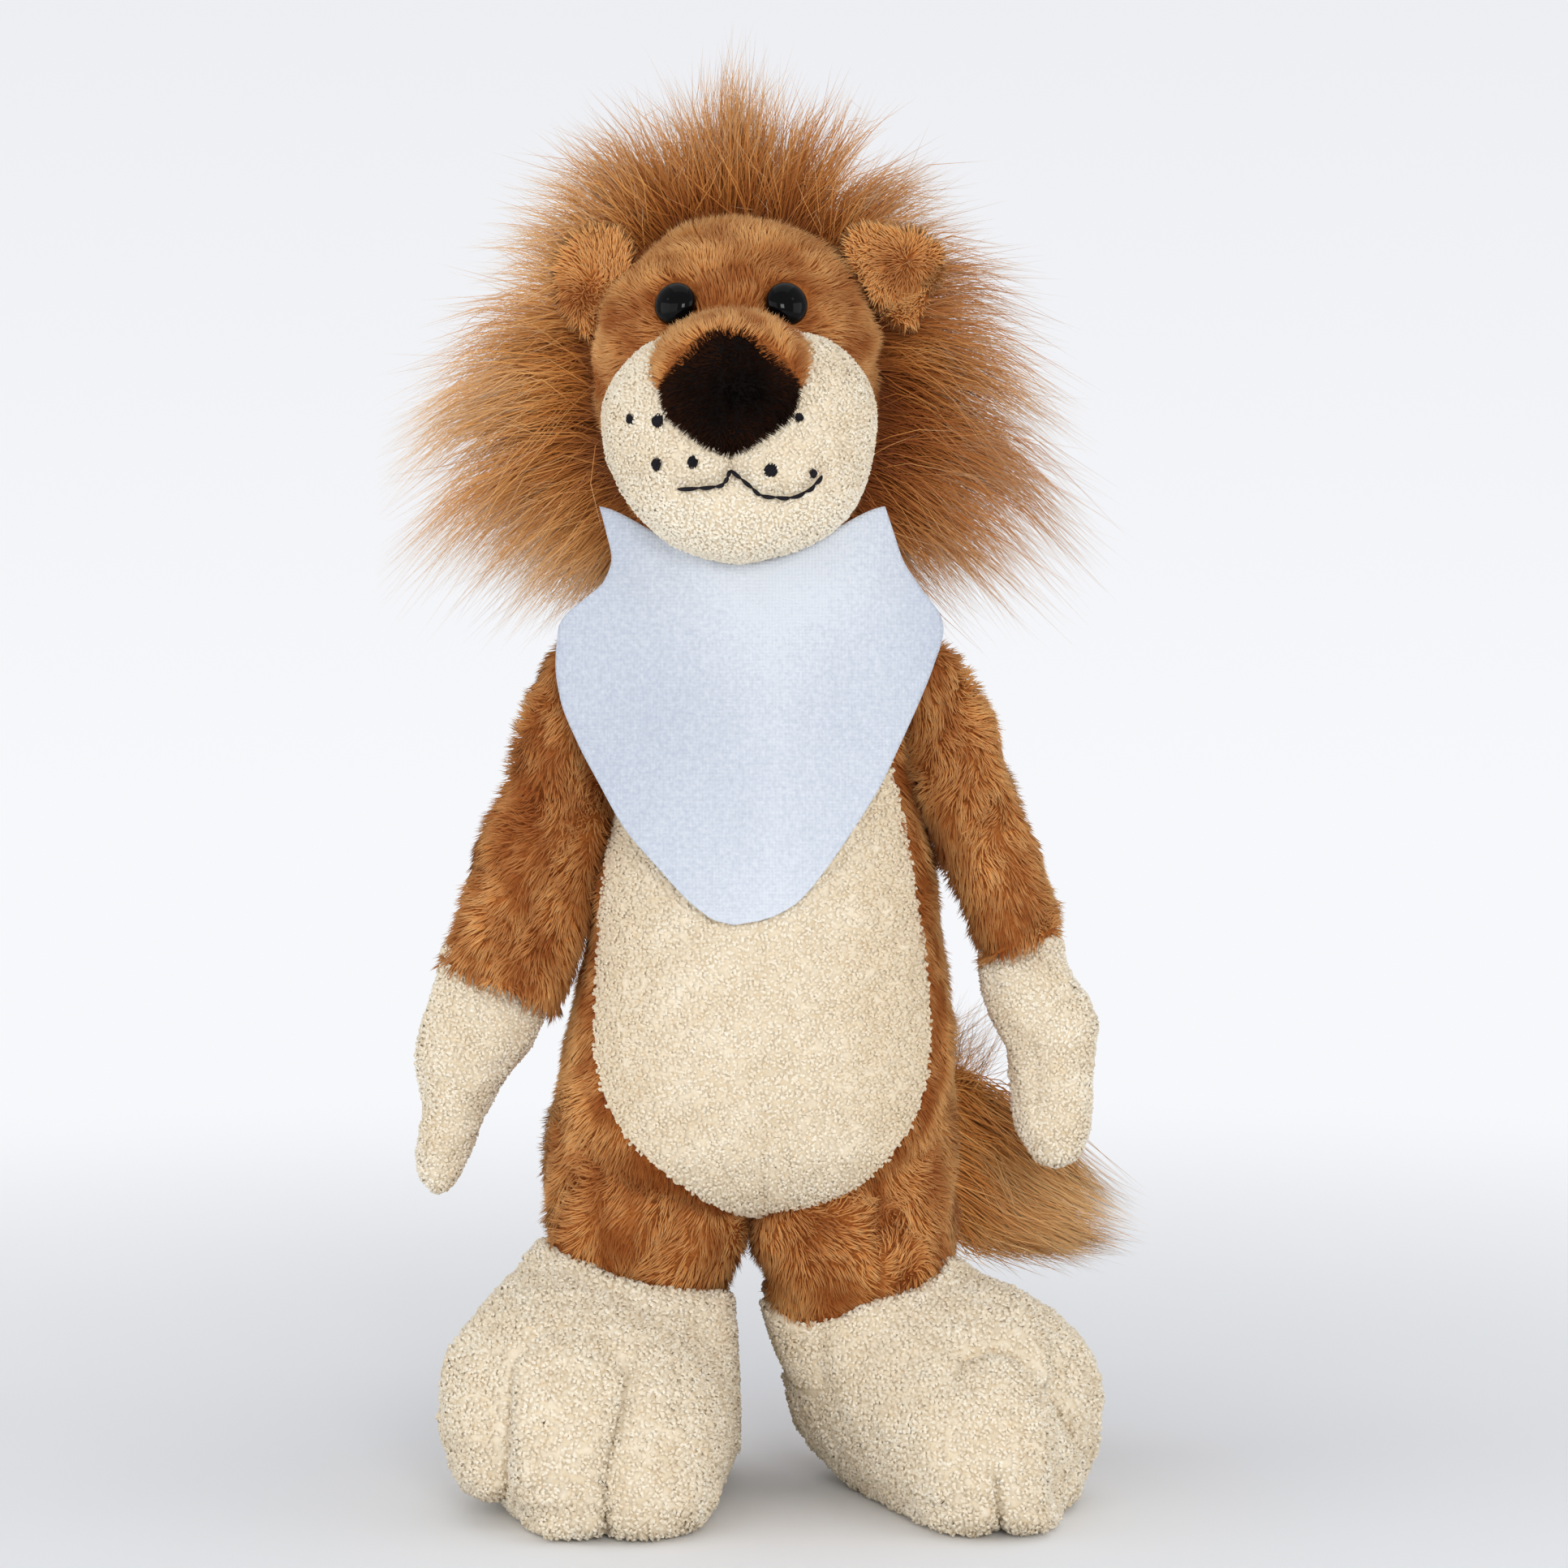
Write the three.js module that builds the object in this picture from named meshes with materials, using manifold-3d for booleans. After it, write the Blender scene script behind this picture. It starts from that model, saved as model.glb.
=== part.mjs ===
// A standing plush lion, sewn from short-pile plush, looped fleece and long-pile mane cloth.
// Units are millimetres, +Z is up and the face looks along -Y; left is the toy's own left, +X.
// Each cover is a thin cloth bag, open where its neighbour is sewn in, round its own stuffing.
import * as THREE from 'three';
import { mergeVertices } from 'three/addons/utils/BufferGeometryUtils.js';
import Module from 'manifold-3d';

const wasm = await Module();
wasm.setup();

// Cloth and fit
const clothWall = 1.5; // plush backing and the root of its pile
const fillShare = 0.5; // of a cover's facets round the stuffing of the body, head and muzzle
const fillGap = 0.8; // from a cover's inside to its stuffing, clear of the cover's flat facets
const gap = 0.3; // between sewn neighbours
const flatness = 0.04; // how far a facet may stray when flat facets are joined
const reach = 400; // longer than the whole toy, for cutting blocks
const roundPower = 2; // a loft's ring of this power is an ellipse; a higher one is squarer

// The point on the floor midway between the outermost points of the toy
const floorCentre = { x: 6.4, y: -1.5 };

// Body: from the crotch to the top of the neck; lean is the sideways bow of the back
const body = { bottom: 65, neckTop: 225, halfWidth: 45.5, halfDepth: 40, lean: 2.5, neck: 15 };
// share of height, of half width, of half depth, of lean
const bodyShares = [
  [0, 0.45, 0.4, 0], [0.03, 0.75, 0.66, 0], [0.07, 0.92, 0.85, 0], [0.12, 1, 0.95, 0.1],
  [0.22, 0.99, 1, 0.2], [0.4, 0.935, 0.97, 0.7], [0.575, 0.846, 0.9, 1], [0.69, 0.8, 0.83, 0.9],
  [0.78, 0.725, 0.75, 0.7], [0.83, 0.62, 0.65, 0.4], [0.87, 0.47, 0.5, 0.1],
];
const neckShares = [0.905, 1];
const bodyPower = 2.2;
const bodySides = 16;

// Belly panel: the front outline, as shares of its height from the bottom and of its half width
const belly = { bottom: 68.5, top: 201, halfWidth: 36, middle: 1.5 };
const bellyShares = [
  [0, 0], [0.004, 0.16], [0.03, 0.45], [0.08, 0.72], [0.15, 0.9], [0.24, 0.98], [0.34, 1],
  [0.5, 0.97], [0.66, 0.85], [0.82, 0.66], [0.94, 0.46], [1, 0.3],
];

// Neckerchief: its two upper corners stand beside the chin and its tip lies on the belly
const bib = {
  cornerHeight: 229, tipHeight: 136, halfWidth: 45, depth: 42, cloth: 1.2, middle: -0.5, columns: 8,
};
// share of the drop, of half width, sag of the row in drops, depth at the middle, bow to the edge
const bibShares = [
  [0, 0.72, 0.185, 0.735, 0.46], [0.06, 0.7, 0.155, 0.745, 0.43], [0.14, 0.74, 0.12, 0.76, 0.36],
  [0.22, 0.88, 0.09, 0.775, 0.25], [0.3, 0.99, 0.07, 0.8, 0.25], [0.38, 1, 0.06, 0.83, 0.28],
  [0.46, 0.96, 0.05, 0.87, 0.3], [0.58, 0.83, 0.045, 0.92, 0.26], [0.7, 0.67, 0.04, 0.965, 0.2],
  [0.82, 0.47, 0.03, 0.99, 0.12], [0.92, 0.27, 0.02, 1, 0.05], [0.98, 0.1, 0, 1, 0],
];
const neckband = {
  bottom: 207, height: 4.5, halfWidth: 23, halfDepth: 25.3, forward: 4.6, side: 17, back: 16,
};

// Head, muzzle and the brown bridge between the eyes
const head = { x: -3.5, y: 0, z: 257, halfWidth: 34, halfDepth: 39, halfHeight: 41 };
const muzzle = { x: -3, y: -35, z: 241, halfWidth: 29.5, halfDepth: 27, halfHeight: 25 };
const bridge = { x: -4.7, y: -41, z: 257, halfWidth: 17.5, halfDepth: 22, halfHeight: 14.5 };
const nose = {
  x: -4.1, y: -57, z: 253.8, halfWidth: 14.6, halfDepth: 9.5, halfHeight: 13.2, taper: 0.3,
};
const headSides = 16;
const muzzleSides = 16;
const bridgeSides = 12;
const noseSides = 8;

// Safety eyes: a glossy dome on a shank, held inside the head by a toothed washer;
// rise is from the head's middle
const eye = {
  radius: 5, dome: 4.2, rim: 0.6, shank: 1.6, shankLength: 9, spread: 12.3, rise: 18,
  sides: 8, domeRows: 4,
};
const washer = { radius: 5.5, thickness: 1.2, depth: 3.5 };

// Ears: a cupped front and a cupped back, sewn together at the rim
const ear = { radius: 12.8, cup: 4.6, cloth: 1.3, sides: 10, rings: 2 };
// places are shares of the head's half sizes from its middle, turns are in radians
const earPlaces = {
  right: { across: -0.985, forward: 0.087, up: 0.61, narrow: 0.86, turn: -0.32, roll: 0.25 },
  left: { across: 1.097, forward: 0.092, up: 0.659, narrow: 0.98, turn: 0.42, roll: -0.5 },
};

// Mane: the dense part of the long pile round the back of the head; its flat front leans
// forward towards the top, by the slope, from the front at the ears' height
const mane = {
  x: 0.5, y: 12, bottom: 204, top: 327, halfWidth: 73, halfDepth: 50, front: 7.6, slope: 0.12,
  earHeight: 272, sides: 16,
  collar: 26, collarTop: 213.5, // radius and top of the room in which the neckband turns
};
// share of height, of half width and of half depth
const maneShares = [
  [0, 0.67, 0.64], [0.065, 0.88, 0.88], [0.17, 0.97, 0.93], [0.33, 1, 1], [0.47, 0.97, 1],
  [0.6, 0.9, 0.8], [0.73, 0.79, 0.62], [0.845, 0.66, 0.5], [0.925, 0.5, 0.42], [0.975, 0.34, 0.3],
  [1, 0.16, 0.14],
];

// Embroidery: the two halves of the mouth and the whisker dots
const thread = { radius: 0.55, sides: 6, steps: 10, dotRadius: 1.3, dotHeight: 0.9, dotSides: 6 };
// places are shares of the muzzle's half width and half height from its middle
const mouthShares = {
  right: [[-0.05, -0.235], [-0.095, -0.315], [-0.223, -0.335], [-0.423, -0.345]],
  left: [[0.01, -0.17], [0.1, -0.31], [0.21, -0.405], [0.385, -0.42], [0.544, -0.35], [0.643, -0.227]],
};
const whiskerShares = [
  [-0.774, 0.27], [-0.564, 0.246], [-0.574, -0.13], [-0.305, -0.115],
  [0.472, 0.27], [0.262, -0.185], [0.574, -0.21],
];

// Arms: a sleeve that flares over a looped-fleece hand; heights and places are of the centre line
const arms = [
  {
    side: 'right', shoulder: { x: -36, y: -9, z: 190 }, wrist: { x: -58.5, y: -11, z: 114 },
    tip: { x: -71, y: -12, z: 72.5 }, sleeve: 13, sleeveDepth: 10, cuff: 1.8, cuffLength: 3,
    hand: 11.5, handDepth: 9.5, handShares: [0.8, 1, 0.95, 0.7, 0.62, 0.36],
  },
  {
    side: 'left', shoulder: { x: 39, y: -9, z: 191 }, wrist: { x: 61.5, y: -11, z: 125.5 },
    tip: { x: 71, y: -13, z: 79 }, sleeve: 10.5, sleeveDepth: 11.5, cuff: 1.4, cuffLength: 3,
    hand: 10.2, handDepth: 9, handShares: [0.86, 1, 0.99, 0.97, 0.82, 0.45],
  },
];
const shoulderRadius = 10.8; // the rounded top of the sleeve that turns in the body's side
const underarm = 1; // from the sleeve's inner side to the body, for the arm to lift
const sleeveShares = [[0, 0.84], [0.25, 0.9], [0.55, 0.97], [0.85, 1]]; // down the sleeve, of its size
const handPlaceShares = [-0.12, 0.08, 0.24, 0.42, 0.78, 0.96]; // from the wrist to the tip
const armSides = 12;

// Legs: short barrels whose rounded tops turn in the body about the hip line
const hip = {
  y: -3, z: 80, radius: 23.5, halfLength: 21.6, forward: 25, backward: 10, rows: 6, bend: 2 / 3,
};
const leg = { halfWidth: 22.8, bottom: 38, hem: 21.8, power: 2.4 };
const legTopShares = [0.9, 0.96]; // of the half width and of the hip's radius, at the hip line
const legSides = 14;
const legs = [
  { side: 'right', x: -24, foot: { x: -36.6, y: -19.5, turn: 8 } },
  { side: 'left', x: 23.4, foot: { x: 41.2, y: -17, turn: 38 } },
];

// Feet: long soft boots on a flat sole, heel at the first row of shares and toes at the last
const foot = { fullLength: 92, halfWidth: 33, top: 56, widest: 14, sink: 3 };
// share of length, of half width, of the top's height, of the depth below the widest line
const footShares = [
  [0, 0.22, 0.3, 0.3], [0.03, 0.48, 0.54, 0.64], [0.12, 0.73, 0.86, 0.9], [0.3, 0.9, 1, 1],
  [0.54, 0.98, 0.92, 1], [0.76, 0.98, 0.8, 1], [0.9, 0.84, 0.64, 0.86], [0.97, 0.57, 0.42, 0.64],
  [1, 0.26, 0.3, 0.3],
];
const footPower = 2.6;
const footSides = 12;
const sole = { halfWidth: 19, halfLength: 33, thickness: 1.5, sides: 16, forward: 1 };
const pelletBag = { halfWidth: 17, halfLength: 20, height: 19, back: 12, sides: 10 };

// Tail: a stuffed tube with a long-pile tuft, swinging about its root on the back
const tail = {
  root: { x: 8, y: 42.4, z: 86 }, radius: 5.6, sides: 8, steps: 6, rootSides: 10, rootRows: 6,
};
const tailTurns = [{ x: 19, y: 49.5, z: 83 }, { x: 41, y: 51, z: 75 }];
const tuft = {
  x: 62, y: 50, z: 68, halfLength: 27, halfDepth: 14, halfHeight: 19, droop: 15, sides: 12,
};

// Turns a closed geometry into a solid; its shared vertices are merged by place
function merged(geometry) {
  const bare = geometry.index ? geometry.toNonIndexed() : geometry.clone();
  bare.deleteAttribute('normal');
  bare.deleteAttribute('uv');
  return mergeVertices(bare);
}

function solidOf(geometry) {
  const joined = merged(geometry);
  const mesh = new wasm.Mesh({
    numProp: 3,
    vertProperties: new Float32Array(joined.attributes.position.array),
    triVerts: new Uint32Array(joined.index.array),
  });
  mesh.merge();
  return new wasm.Manifold(mesh);
}

// The same geometry with its surface moved out along its smooth normals, or in if negative
function inflated(geometry, amount) {
  const joined = merged(geometry);
  joined.computeVertexNormals();
  const { position, normal } = joined.attributes;
  for (let i = 0; i < position.count; i += 1) {
    position.setXYZ(
      i,
      position.getX(i) + normal.getX(i) * amount,
      position.getY(i) + normal.getY(i) * amount,
      position.getZ(i) + normal.getZ(i) * amount,
    );
  }
  return joined;
}

const swollen = (geometry, amount) => solidOf(inflated(geometry, amount));

function fabric(colour, roughness = 0.95) {
  return new THREE.MeshStandardMaterial({ color: colour, roughness, metalness: 0 });
}

const plush = fabric(0xa1652f);
const fleece = fabric(0xdfcbab);
const longPile = fabric(0x8f5628);
const kerchiefCloth = fabric(0xd9dfe9, 0.9);
const nosePlush = fabric(0x1c100a);
const stitching = fabric(0x1d1714, 0.8);
const filling = fabric(0xf2f0ea);
const glossyPlastic = fabric(0x0b0b0c, 0.12);
const washerPlastic = fabric(0xe6e4dc, 0.5);

// A solid without the crumbs that a cut can leave where two surfaces graze
function withoutCrumbs(solid) {
  const larger = (one, other) => (other.volume() > one.volume() ? other : one);
  return solid.decompose().reduce(larger);
}

// A named mesh of a solid
function meshOf(name, solid, material) {
  const { vertProperties, triVerts } = withoutCrumbs(solid.simplify(flatness)).getMesh();
  const geometry = new THREE.BufferGeometry();
  geometry.setAttribute('position', new THREE.BufferAttribute(vertProperties, 3));
  geometry.setIndex(new THREE.BufferAttribute(triVerts, 1));
  geometry.computeVertexNormals();
  const mesh = new THREE.Mesh(geometry, material);
  mesh.name = name;
  return mesh;
}

const union = (solids) => solids.reduce((sum, solid) => sum.add(solid));
const cutBy = (solid, cutters) => cutters.reduce((rest, cutter) => rest.subtract(cutter), solid);

// A smooth bag through rings; each ring has a centre, two unit axes and its half sizes
// along them, the second with its own half size (under) on the negative side
function loft(rings, sides, power) {
  const places = [rings[0].centre.toArray()];
  for (const ring of rings) {
    const bend = 2 / (ring.power ?? power);
    for (let j = 0; j < sides; j += 1) {
      const angle = (2 * Math.PI * j) / sides;
      const [c, s] = [Math.cos(angle), Math.sin(angle)];
      const along = Math.sign(c) * Math.abs(c) ** bend * ring.wide;
      const rise = Math.sign(s) * Math.abs(s) ** bend * (s > 0 ? ring.deep : ring.under ?? ring.deep);
      const point = ring.centre.clone().addScaledVector(ring.across, along);
      places.push(point.addScaledVector(ring.up, rise).toArray());
    }
  }
  places.push(rings.at(-1).centre.toArray());
  const last = places.length - 1;
  const at = (row, j) => 1 + row * sides + (j % sides);
  const faces = [];
  for (let j = 0; j < sides; j += 1) {
    faces.push([0, at(0, j + 1), at(0, j)]);
    for (let row = 0; row + 1 < rings.length; row += 1) {
      faces.push([at(row, j), at(row, j + 1), at(row + 1, j + 1)]);
      faces.push([at(row, j), at(row + 1, j + 1), at(row + 1, j)]);
    }
    faces.push([last, at(rings.length - 1, j), at(rings.length - 1, j + 1)]);
  }
  const turn = rings[0].across.clone().cross(rings[0].up).dot(
    rings.at(-1).centre.clone().sub(rings[0].centre),
  );
  const geometry = new THREE.BufferGeometry();
  geometry.setAttribute('position', new THREE.Float32BufferAttribute(places.flat(), 3));
  geometry.setIndex(faces.flatMap((face) => (turn > 0 ? face : [...face].reverse())));
  return geometry;
}

function ellipsoid(part, sides) {
  const geometry = new THREE.SphereGeometry(1, sides, Math.round(sides / 2));
  geometry.rotateX(Math.PI / 2);
  geometry.scale(part.halfWidth, part.halfDepth, part.halfHeight);
  return geometry.translate(part.x, part.y, part.z);
}

// A block that holds everything above the height
function above(height) {
  const block = new THREE.BoxGeometry(reach, reach, reach);
  return solidOf(block.translate(0, 0, height + reach / 2));
}

const vector = ({ x, y, z }) => new THREE.Vector3(x, y, z);
const xAxis = new THREE.Vector3(1, 0, 0);
const yAxis = new THREE.Vector3(0, 1, 0);
const zAxis = new THREE.Vector3(0, 0, 1);
const radians = THREE.MathUtils.degToRad;

// Body
function bodyGeometry(sides) {
  const height = body.neckTop - body.bottom;
  const rings = bodyShares.map(([h, w, d, bow]) => ({
    centre: new THREE.Vector3(body.lean * bow, 0, body.bottom + height * h),
    across: xAxis, up: yAxis, wide: body.halfWidth * w, deep: body.halfDepth * d,
  }));
  const neckRings = neckShares.map((h) => ({
    centre: new THREE.Vector3(0, 0, body.bottom + height * h),
    across: xAxis, up: yAxis, wide: body.neck, deep: body.neck, power: roundPower,
  }));
  return loft([...rings, ...neckRings], sides, bodyPower);
}

// The neck as a turned post, which the head's underside is cut to
function neckPost(extra) {
  const radius = body.neck + extra;
  const top = body.neckTop + extra;
  const post = new THREE.CylinderGeometry(radius, radius, top - body.bottom, bodySides);
  post.rotateX(Math.PI / 2);
  return solidOf(post.translate(0, 0, (top + body.bottom) / 2));
}

// How much larger a socket's facets stand, so that a ball of as many facets turns inside it
const roundFor = (sides) => 1 / Math.cos(Math.PI / sides);

// Legs and feet
function hipDrum(x, extra, round = 1) {
  const profile = Array.from({ length: hip.rows + 1 }, (_, i) => {
    const angle = (Math.PI * i) / hip.rows - Math.PI / 2;
    const along = Math.sign(angle) * Math.abs(Math.sin(angle)) ** hip.bend * (hip.halfLength + extra);
    const radius = Math.abs(Math.cos(angle)) ** hip.bend * (hip.radius + extra) * round;
    return new THREE.Vector2(i === 0 || i === hip.rows ? 0 : radius, along);
  });
  const drum = new THREE.LatheGeometry(profile, legSides);
  drum.rotateZ(-Math.PI / 2);
  return solidOf(drum.translate(x, hip.y, hip.z));
}

function legBarrel(x, extra, swing = 0) {
  const rows = [
    [hip.z, leg.halfWidth * legTopShares[0], hip.radius * legTopShares[1]],
    [(hip.z + leg.bottom) / 2, leg.halfWidth, hip.radius],
    [leg.bottom, leg.hem, leg.hem],
  ];
  const barrel = loft(rows.map(([z, wide, deep]) => ({
    centre: new THREE.Vector3(x, hip.y, z), across: xAxis, up: yAxis,
    wide: wide + extra, deep: deep + extra,
  })), legSides, leg.power);
  barrel.translate(0, -hip.y, -hip.z).rotateX(radians(swing)).translate(0, hip.y, hip.z);
  return solidOf(barrel);
}

function footGeometry({ x, y, turn }, outward) {
  const angle = radians(turn) * outward;
  const forward = new THREE.Vector3(Math.sin(angle), -Math.cos(angle), 0);
  const across = new THREE.Vector3().crossVectors(zAxis, forward);
  const rings = footShares.map(([along, wide, top, under]) => ({
    centre: new THREE.Vector3(x, y, foot.widest).addScaledVector(forward, foot.fullLength * (along - 0.5)),
    across, up: zAxis,
    wide: foot.halfWidth * wide,
    deep: (foot.top - foot.widest) * top,
    under: (foot.widest + foot.sink) * under,
  }));
  return loft(rings, footSides, footPower);
}

function soleSlab({ x, y, turn }, outward, extra, thickness) {
  const outline = new THREE.Shape();
  outline.absellipse(0, 0, sole.halfWidth + extra, sole.halfLength + extra, 0, 2 * Math.PI);
  const slab = new THREE.ExtrudeGeometry(outline, {
    depth: thickness, bevelEnabled: false, curveSegments: sole.sides / 2,
  });
  slab.translate(0, -sole.forward, 0).rotateZ(radians(turn) * outward);
  return solidOf(slab.translate(x, y, 0));
}

function pelletSolid({ x, y, turn }, outward, extra) {
  const bag = new THREE.SphereGeometry(1, pelletBag.sides, pelletBag.sides / 2);
  bag.rotateX(Math.PI / 2);
  bag.scale(pelletBag.halfWidth + extra, pelletBag.halfLength + extra, pelletBag.height + extra);
  bag.translate(0, pelletBag.back, 0).rotateZ(radians(turn) * outward).translate(x, y, 0);
  return solidOf(bag);
}

function legPieces({ side, x, foot: place }) {
  const outward = Math.sign(x);
  const footBag = footGeometry(place, outward);
  const footAt = (extra, floor) => swollen(footBag, extra).intersect(above(floor));
  const inside = clothWall + fillGap;
  const footCover = cutBy(footAt(0, 0), [
    footAt(-clothWall, clothWall), soleSlab(place, outward, gap, clothWall + gap),
  ]);
  const pellets = pelletSolid(place, outward, 0).intersect(above(clothWall + gap));
  const footFilling = footAt(-inside, inside).subtract(pelletSolid(place, outward, gap));
  const legAt = (extra) => legBarrel(x, extra).add(hipDrum(x, extra));
  const legCover = cutBy(legAt(0), [legAt(-clothWall), swollen(footBag, gap)]);
  const legFilling = legAt(-inside).subtract(swollen(footBag, gap));
  return [
    meshOf(`${side}_leg_cover`, legCover, plush),
    meshOf(`${side}_leg_stuffing`, legFilling, filling),
    meshOf(`${side}_foot_cover`, footCover, fleece),
    meshOf(`${side}_foot_stuffing`, footFilling, filling),
    meshOf(`${side}_pellet_bag`, pellets, kerchiefCloth),
    meshOf(`${side}_sole_panel`, soleSlab(place, outward, 0, sole.thickness), fleece),
  ];
}

// What a leg sweeps as it swings, for the body to keep clear of
function legSpace({ x }) {
  const swings = [-hip.forward, -hip.forward / 2, 0, hip.backward];
  return union([hipDrum(x, gap, roundFor(legSides)), ...swings.map((swing) => legBarrel(x, gap, swing))]);
}

// Arms
function armRings(arm) {
  const [shoulder, wrist, tip] = [arm.shoulder, arm.wrist, arm.tip].map(vector);
  const ringAt = (centre, along, wide, deep) => {
    const across = new THREE.Vector3().crossVectors(yAxis, along).normalize();
    return { centre, across, up: yAxis, wide, deep };
  };
  const down = wrist.clone().sub(shoulder);
  const cuffShare = arm.cuffLength / down.length();
  const partWay = (share) => shoulder.clone().addScaledVector(down, share);
  const sleeve = sleeveShares.map(([share, size]) => (
    ringAt(partWay(share), down, arm.sleeve * size, arm.sleeveDepth * size)
  ));
  const cuffAt = (share) => (
    ringAt(partWay(share), down, arm.sleeve + arm.cuff, arm.sleeveDepth + arm.cuff)
  );
  sleeve.push(cuffAt(1), cuffAt(1 + cuffShare));
  const out = tip.clone().sub(wrist);
  const hand = handPlaceShares.map((share, i) => ringAt(
    wrist.clone().addScaledVector(out, share), out,
    arm.hand * arm.handShares[i], arm.handDepth * arm.handShares[i],
  ));
  return { sleeve, hand };
}

function shoulderSolid({ shoulder, sleeveDepth }, extra, round = 1) {
  const ball = new THREE.SphereGeometry(1, armSides, armSides / 2);
  const radius = (shoulderRadius + extra) * round;
  ball.scale(radius, sleeveDepth * sleeveShares[0][1] + extra, radius);
  return solidOf(ball.translate(shoulder.x, shoulder.y, shoulder.z));
}

function armPieces(arm, bodySpace) {
  const { sleeve, hand } = armRings(arm);
  const sleeveBag = loft(sleeve, armSides, roundPower);
  const handBag = loft(hand, armSides, roundPower);
  const inside = clothWall + fillGap;
  const down = vector(arm.wrist).sub(vector(arm.shoulder));
  const handAt = (extra) => swollen(handBag, extra);
  // the open end of the sleeve, carried on past the hem
  const sleeveMouth = loft(sleeve.slice(-2).map((ring, i) => ({
    ...ring, centre: ring.centre.clone().addScaledVector(down, i),
    wide: ring.wide - clothWall, deep: ring.deep - clothWall,
  })), armSides, roundPower);
  const sleeveCover = cutBy(swollen(sleeveBag, 0).add(shoulderSolid(arm, 0)), [
    bodySpace, swollen(sleeveBag, -clothWall), shoulderSolid(arm, -clothWall),
    solidOf(sleeveMouth), handAt(gap),
  ]);
  // the way through the open top of the hand
  const passage = loft([
    { ...hand[0], centre: vector(arm.shoulder) }, { ...hand[0], centre: hand[1].centre },
  ], armSides, roundPower);
  const handMouth = handAt(-clothWall).add(swollen(passage, -clothWall));
  const sleeveCore = swollen(loft(sleeve.slice(0, -1), armSides, roundPower), -inside);
  const sleeveFilling = sleeveCore.add(shoulderSolid(arm, -inside)).subtract(handAt(gap));
  const armFilling = union([sleeveFilling, handAt(-inside), swollen(passage, -inside)]);
  return [
    meshOf(`${arm.side}_arm_cover`, sleeveCover, plush),
    meshOf(`${arm.side}_hand_cover`, handAt(0).subtract(handMouth), fleece),
    meshOf(`${arm.side}_arm_stuffing`, armFilling.subtract(bodySpace), filling),
  ];
}

// Head
function onEllipsoid(part, acrossShare, upShare, stand) {
  const forward = Math.sqrt(Math.max(0, 1 - acrossShare ** 2 - upShare ** 2));
  const place = new THREE.Vector3(
    part.x + part.halfWidth * acrossShare,
    part.y - part.halfDepth * forward,
    part.z + part.halfHeight * upShare,
  );
  const outward = new THREE.Vector3(
    acrossShare / part.halfWidth, -forward / part.halfDepth, upShare / part.halfHeight,
  ).normalize();
  return { place: place.addScaledVector(outward, stand), outward };
}

// A turned geometry about +Y, stood on a place and facing outward
function stoodOn(geometry, { place, outward }) {
  const turn = new THREE.Quaternion().setFromUnitVectors(yAxis, outward);
  geometry.applyQuaternion(turn);
  return solidOf(geometry.translate(place.x, place.y, place.z));
}

function turned(points, sides) {
  return new THREE.LatheGeometry(points.map((point) => new THREE.Vector2(...point)), sides);
}

function eyeSolids(side) {
  const middle = (muzzle.x + nose.x) / 2;
  const acrossShare = (middle + side * eye.spread - head.x) / head.halfWidth;
  const seat = onEllipsoid(head, acrossShare, eye.rise / head.halfHeight, gap);
  const dome = Array.from({ length: eye.domeRows + 1 }, (_, i) => {
    const angle = (Math.PI / 2) * (i / eye.domeRows);
    const radius = i === eye.domeRows ? 0 : eye.radius * Math.cos(angle);
    return [radius, eye.rim + (eye.dome - eye.rim) * Math.sin(angle)];
  });
  const button = turned([
    [0, -eye.shankLength], [eye.shank, -eye.shankLength], [eye.shank, 0], [eye.radius, 0], ...dome,
  ], eye.sides);
  const hole = eye.shank + gap;
  const [upper, lower] = [-washer.depth, -washer.depth - washer.thickness];
  const ring = turned([
    [hole, lower], [washer.radius, lower], [washer.radius, upper], [hole, upper], [hole, lower],
  ], eye.sides);
  // a round space of one radius from a depth up to the rim
  const bore = (radius, depth) => turned([
    [0, -depth - gap], [radius, -depth - gap], [radius, eye.rim], [0, eye.rim],
  ], eye.sides);
  const shapes = [button, ring, bore(hole, eye.shankLength), bore(washer.radius + gap, -lower)];
  const [buttonSolid, ringSolid, shankHole, pocket] = shapes.map((shape) => stoodOn(shape, seat));
  return { button: buttonSolid, washer: ringSolid, shankHole, pocket };
}

function earSolids(place) {
  const bowl = (radius, depth, wall) => {
    const curve = (r) => depth * (1 - (r / radius) ** 2);
    const rings = Array.from({ length: ear.rings + 1 }, (_, i) => (radius * i) / ear.rings);
    const inner = rings.map((r) => [r, curve(r)]);
    const outer = rings.map((r) => [r, curve(r) + wall]).reverse();
    return turned([...inner, ...outer], ear.sides);
  };
  const put = (geometry) => {
    geometry.scale(place.narrow, 1, 1).rotateY(place.roll).rotateZ(place.turn);
    return solidOf(geometry.translate(
      head.x + head.halfWidth * place.across,
      head.y - head.halfDepth * place.forward,
      head.z + head.halfHeight * place.up,
    ));
  };
  const lining = put(bowl(ear.radius - ear.cloth, ear.cup, ear.cloth));
  const outside = put(bowl(ear.radius, ear.cup, ear.cloth).translate(0, ear.cloth + gap, 0));
  return { lining, outside };
}

function noseGeometry() {
  const geometry = ellipsoid(nose, noseSides);
  const { position } = geometry.attributes;
  for (let i = 0; i < position.count; i += 1) {
    const rise = (position.getZ(i) - nose.z) / nose.halfHeight;
    const width = 1 + nose.taper * Math.min(rise, 0) * Math.abs(rise);
    position.setX(i, nose.x + (position.getX(i) - nose.x) * width);
  }
  return geometry;
}

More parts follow.
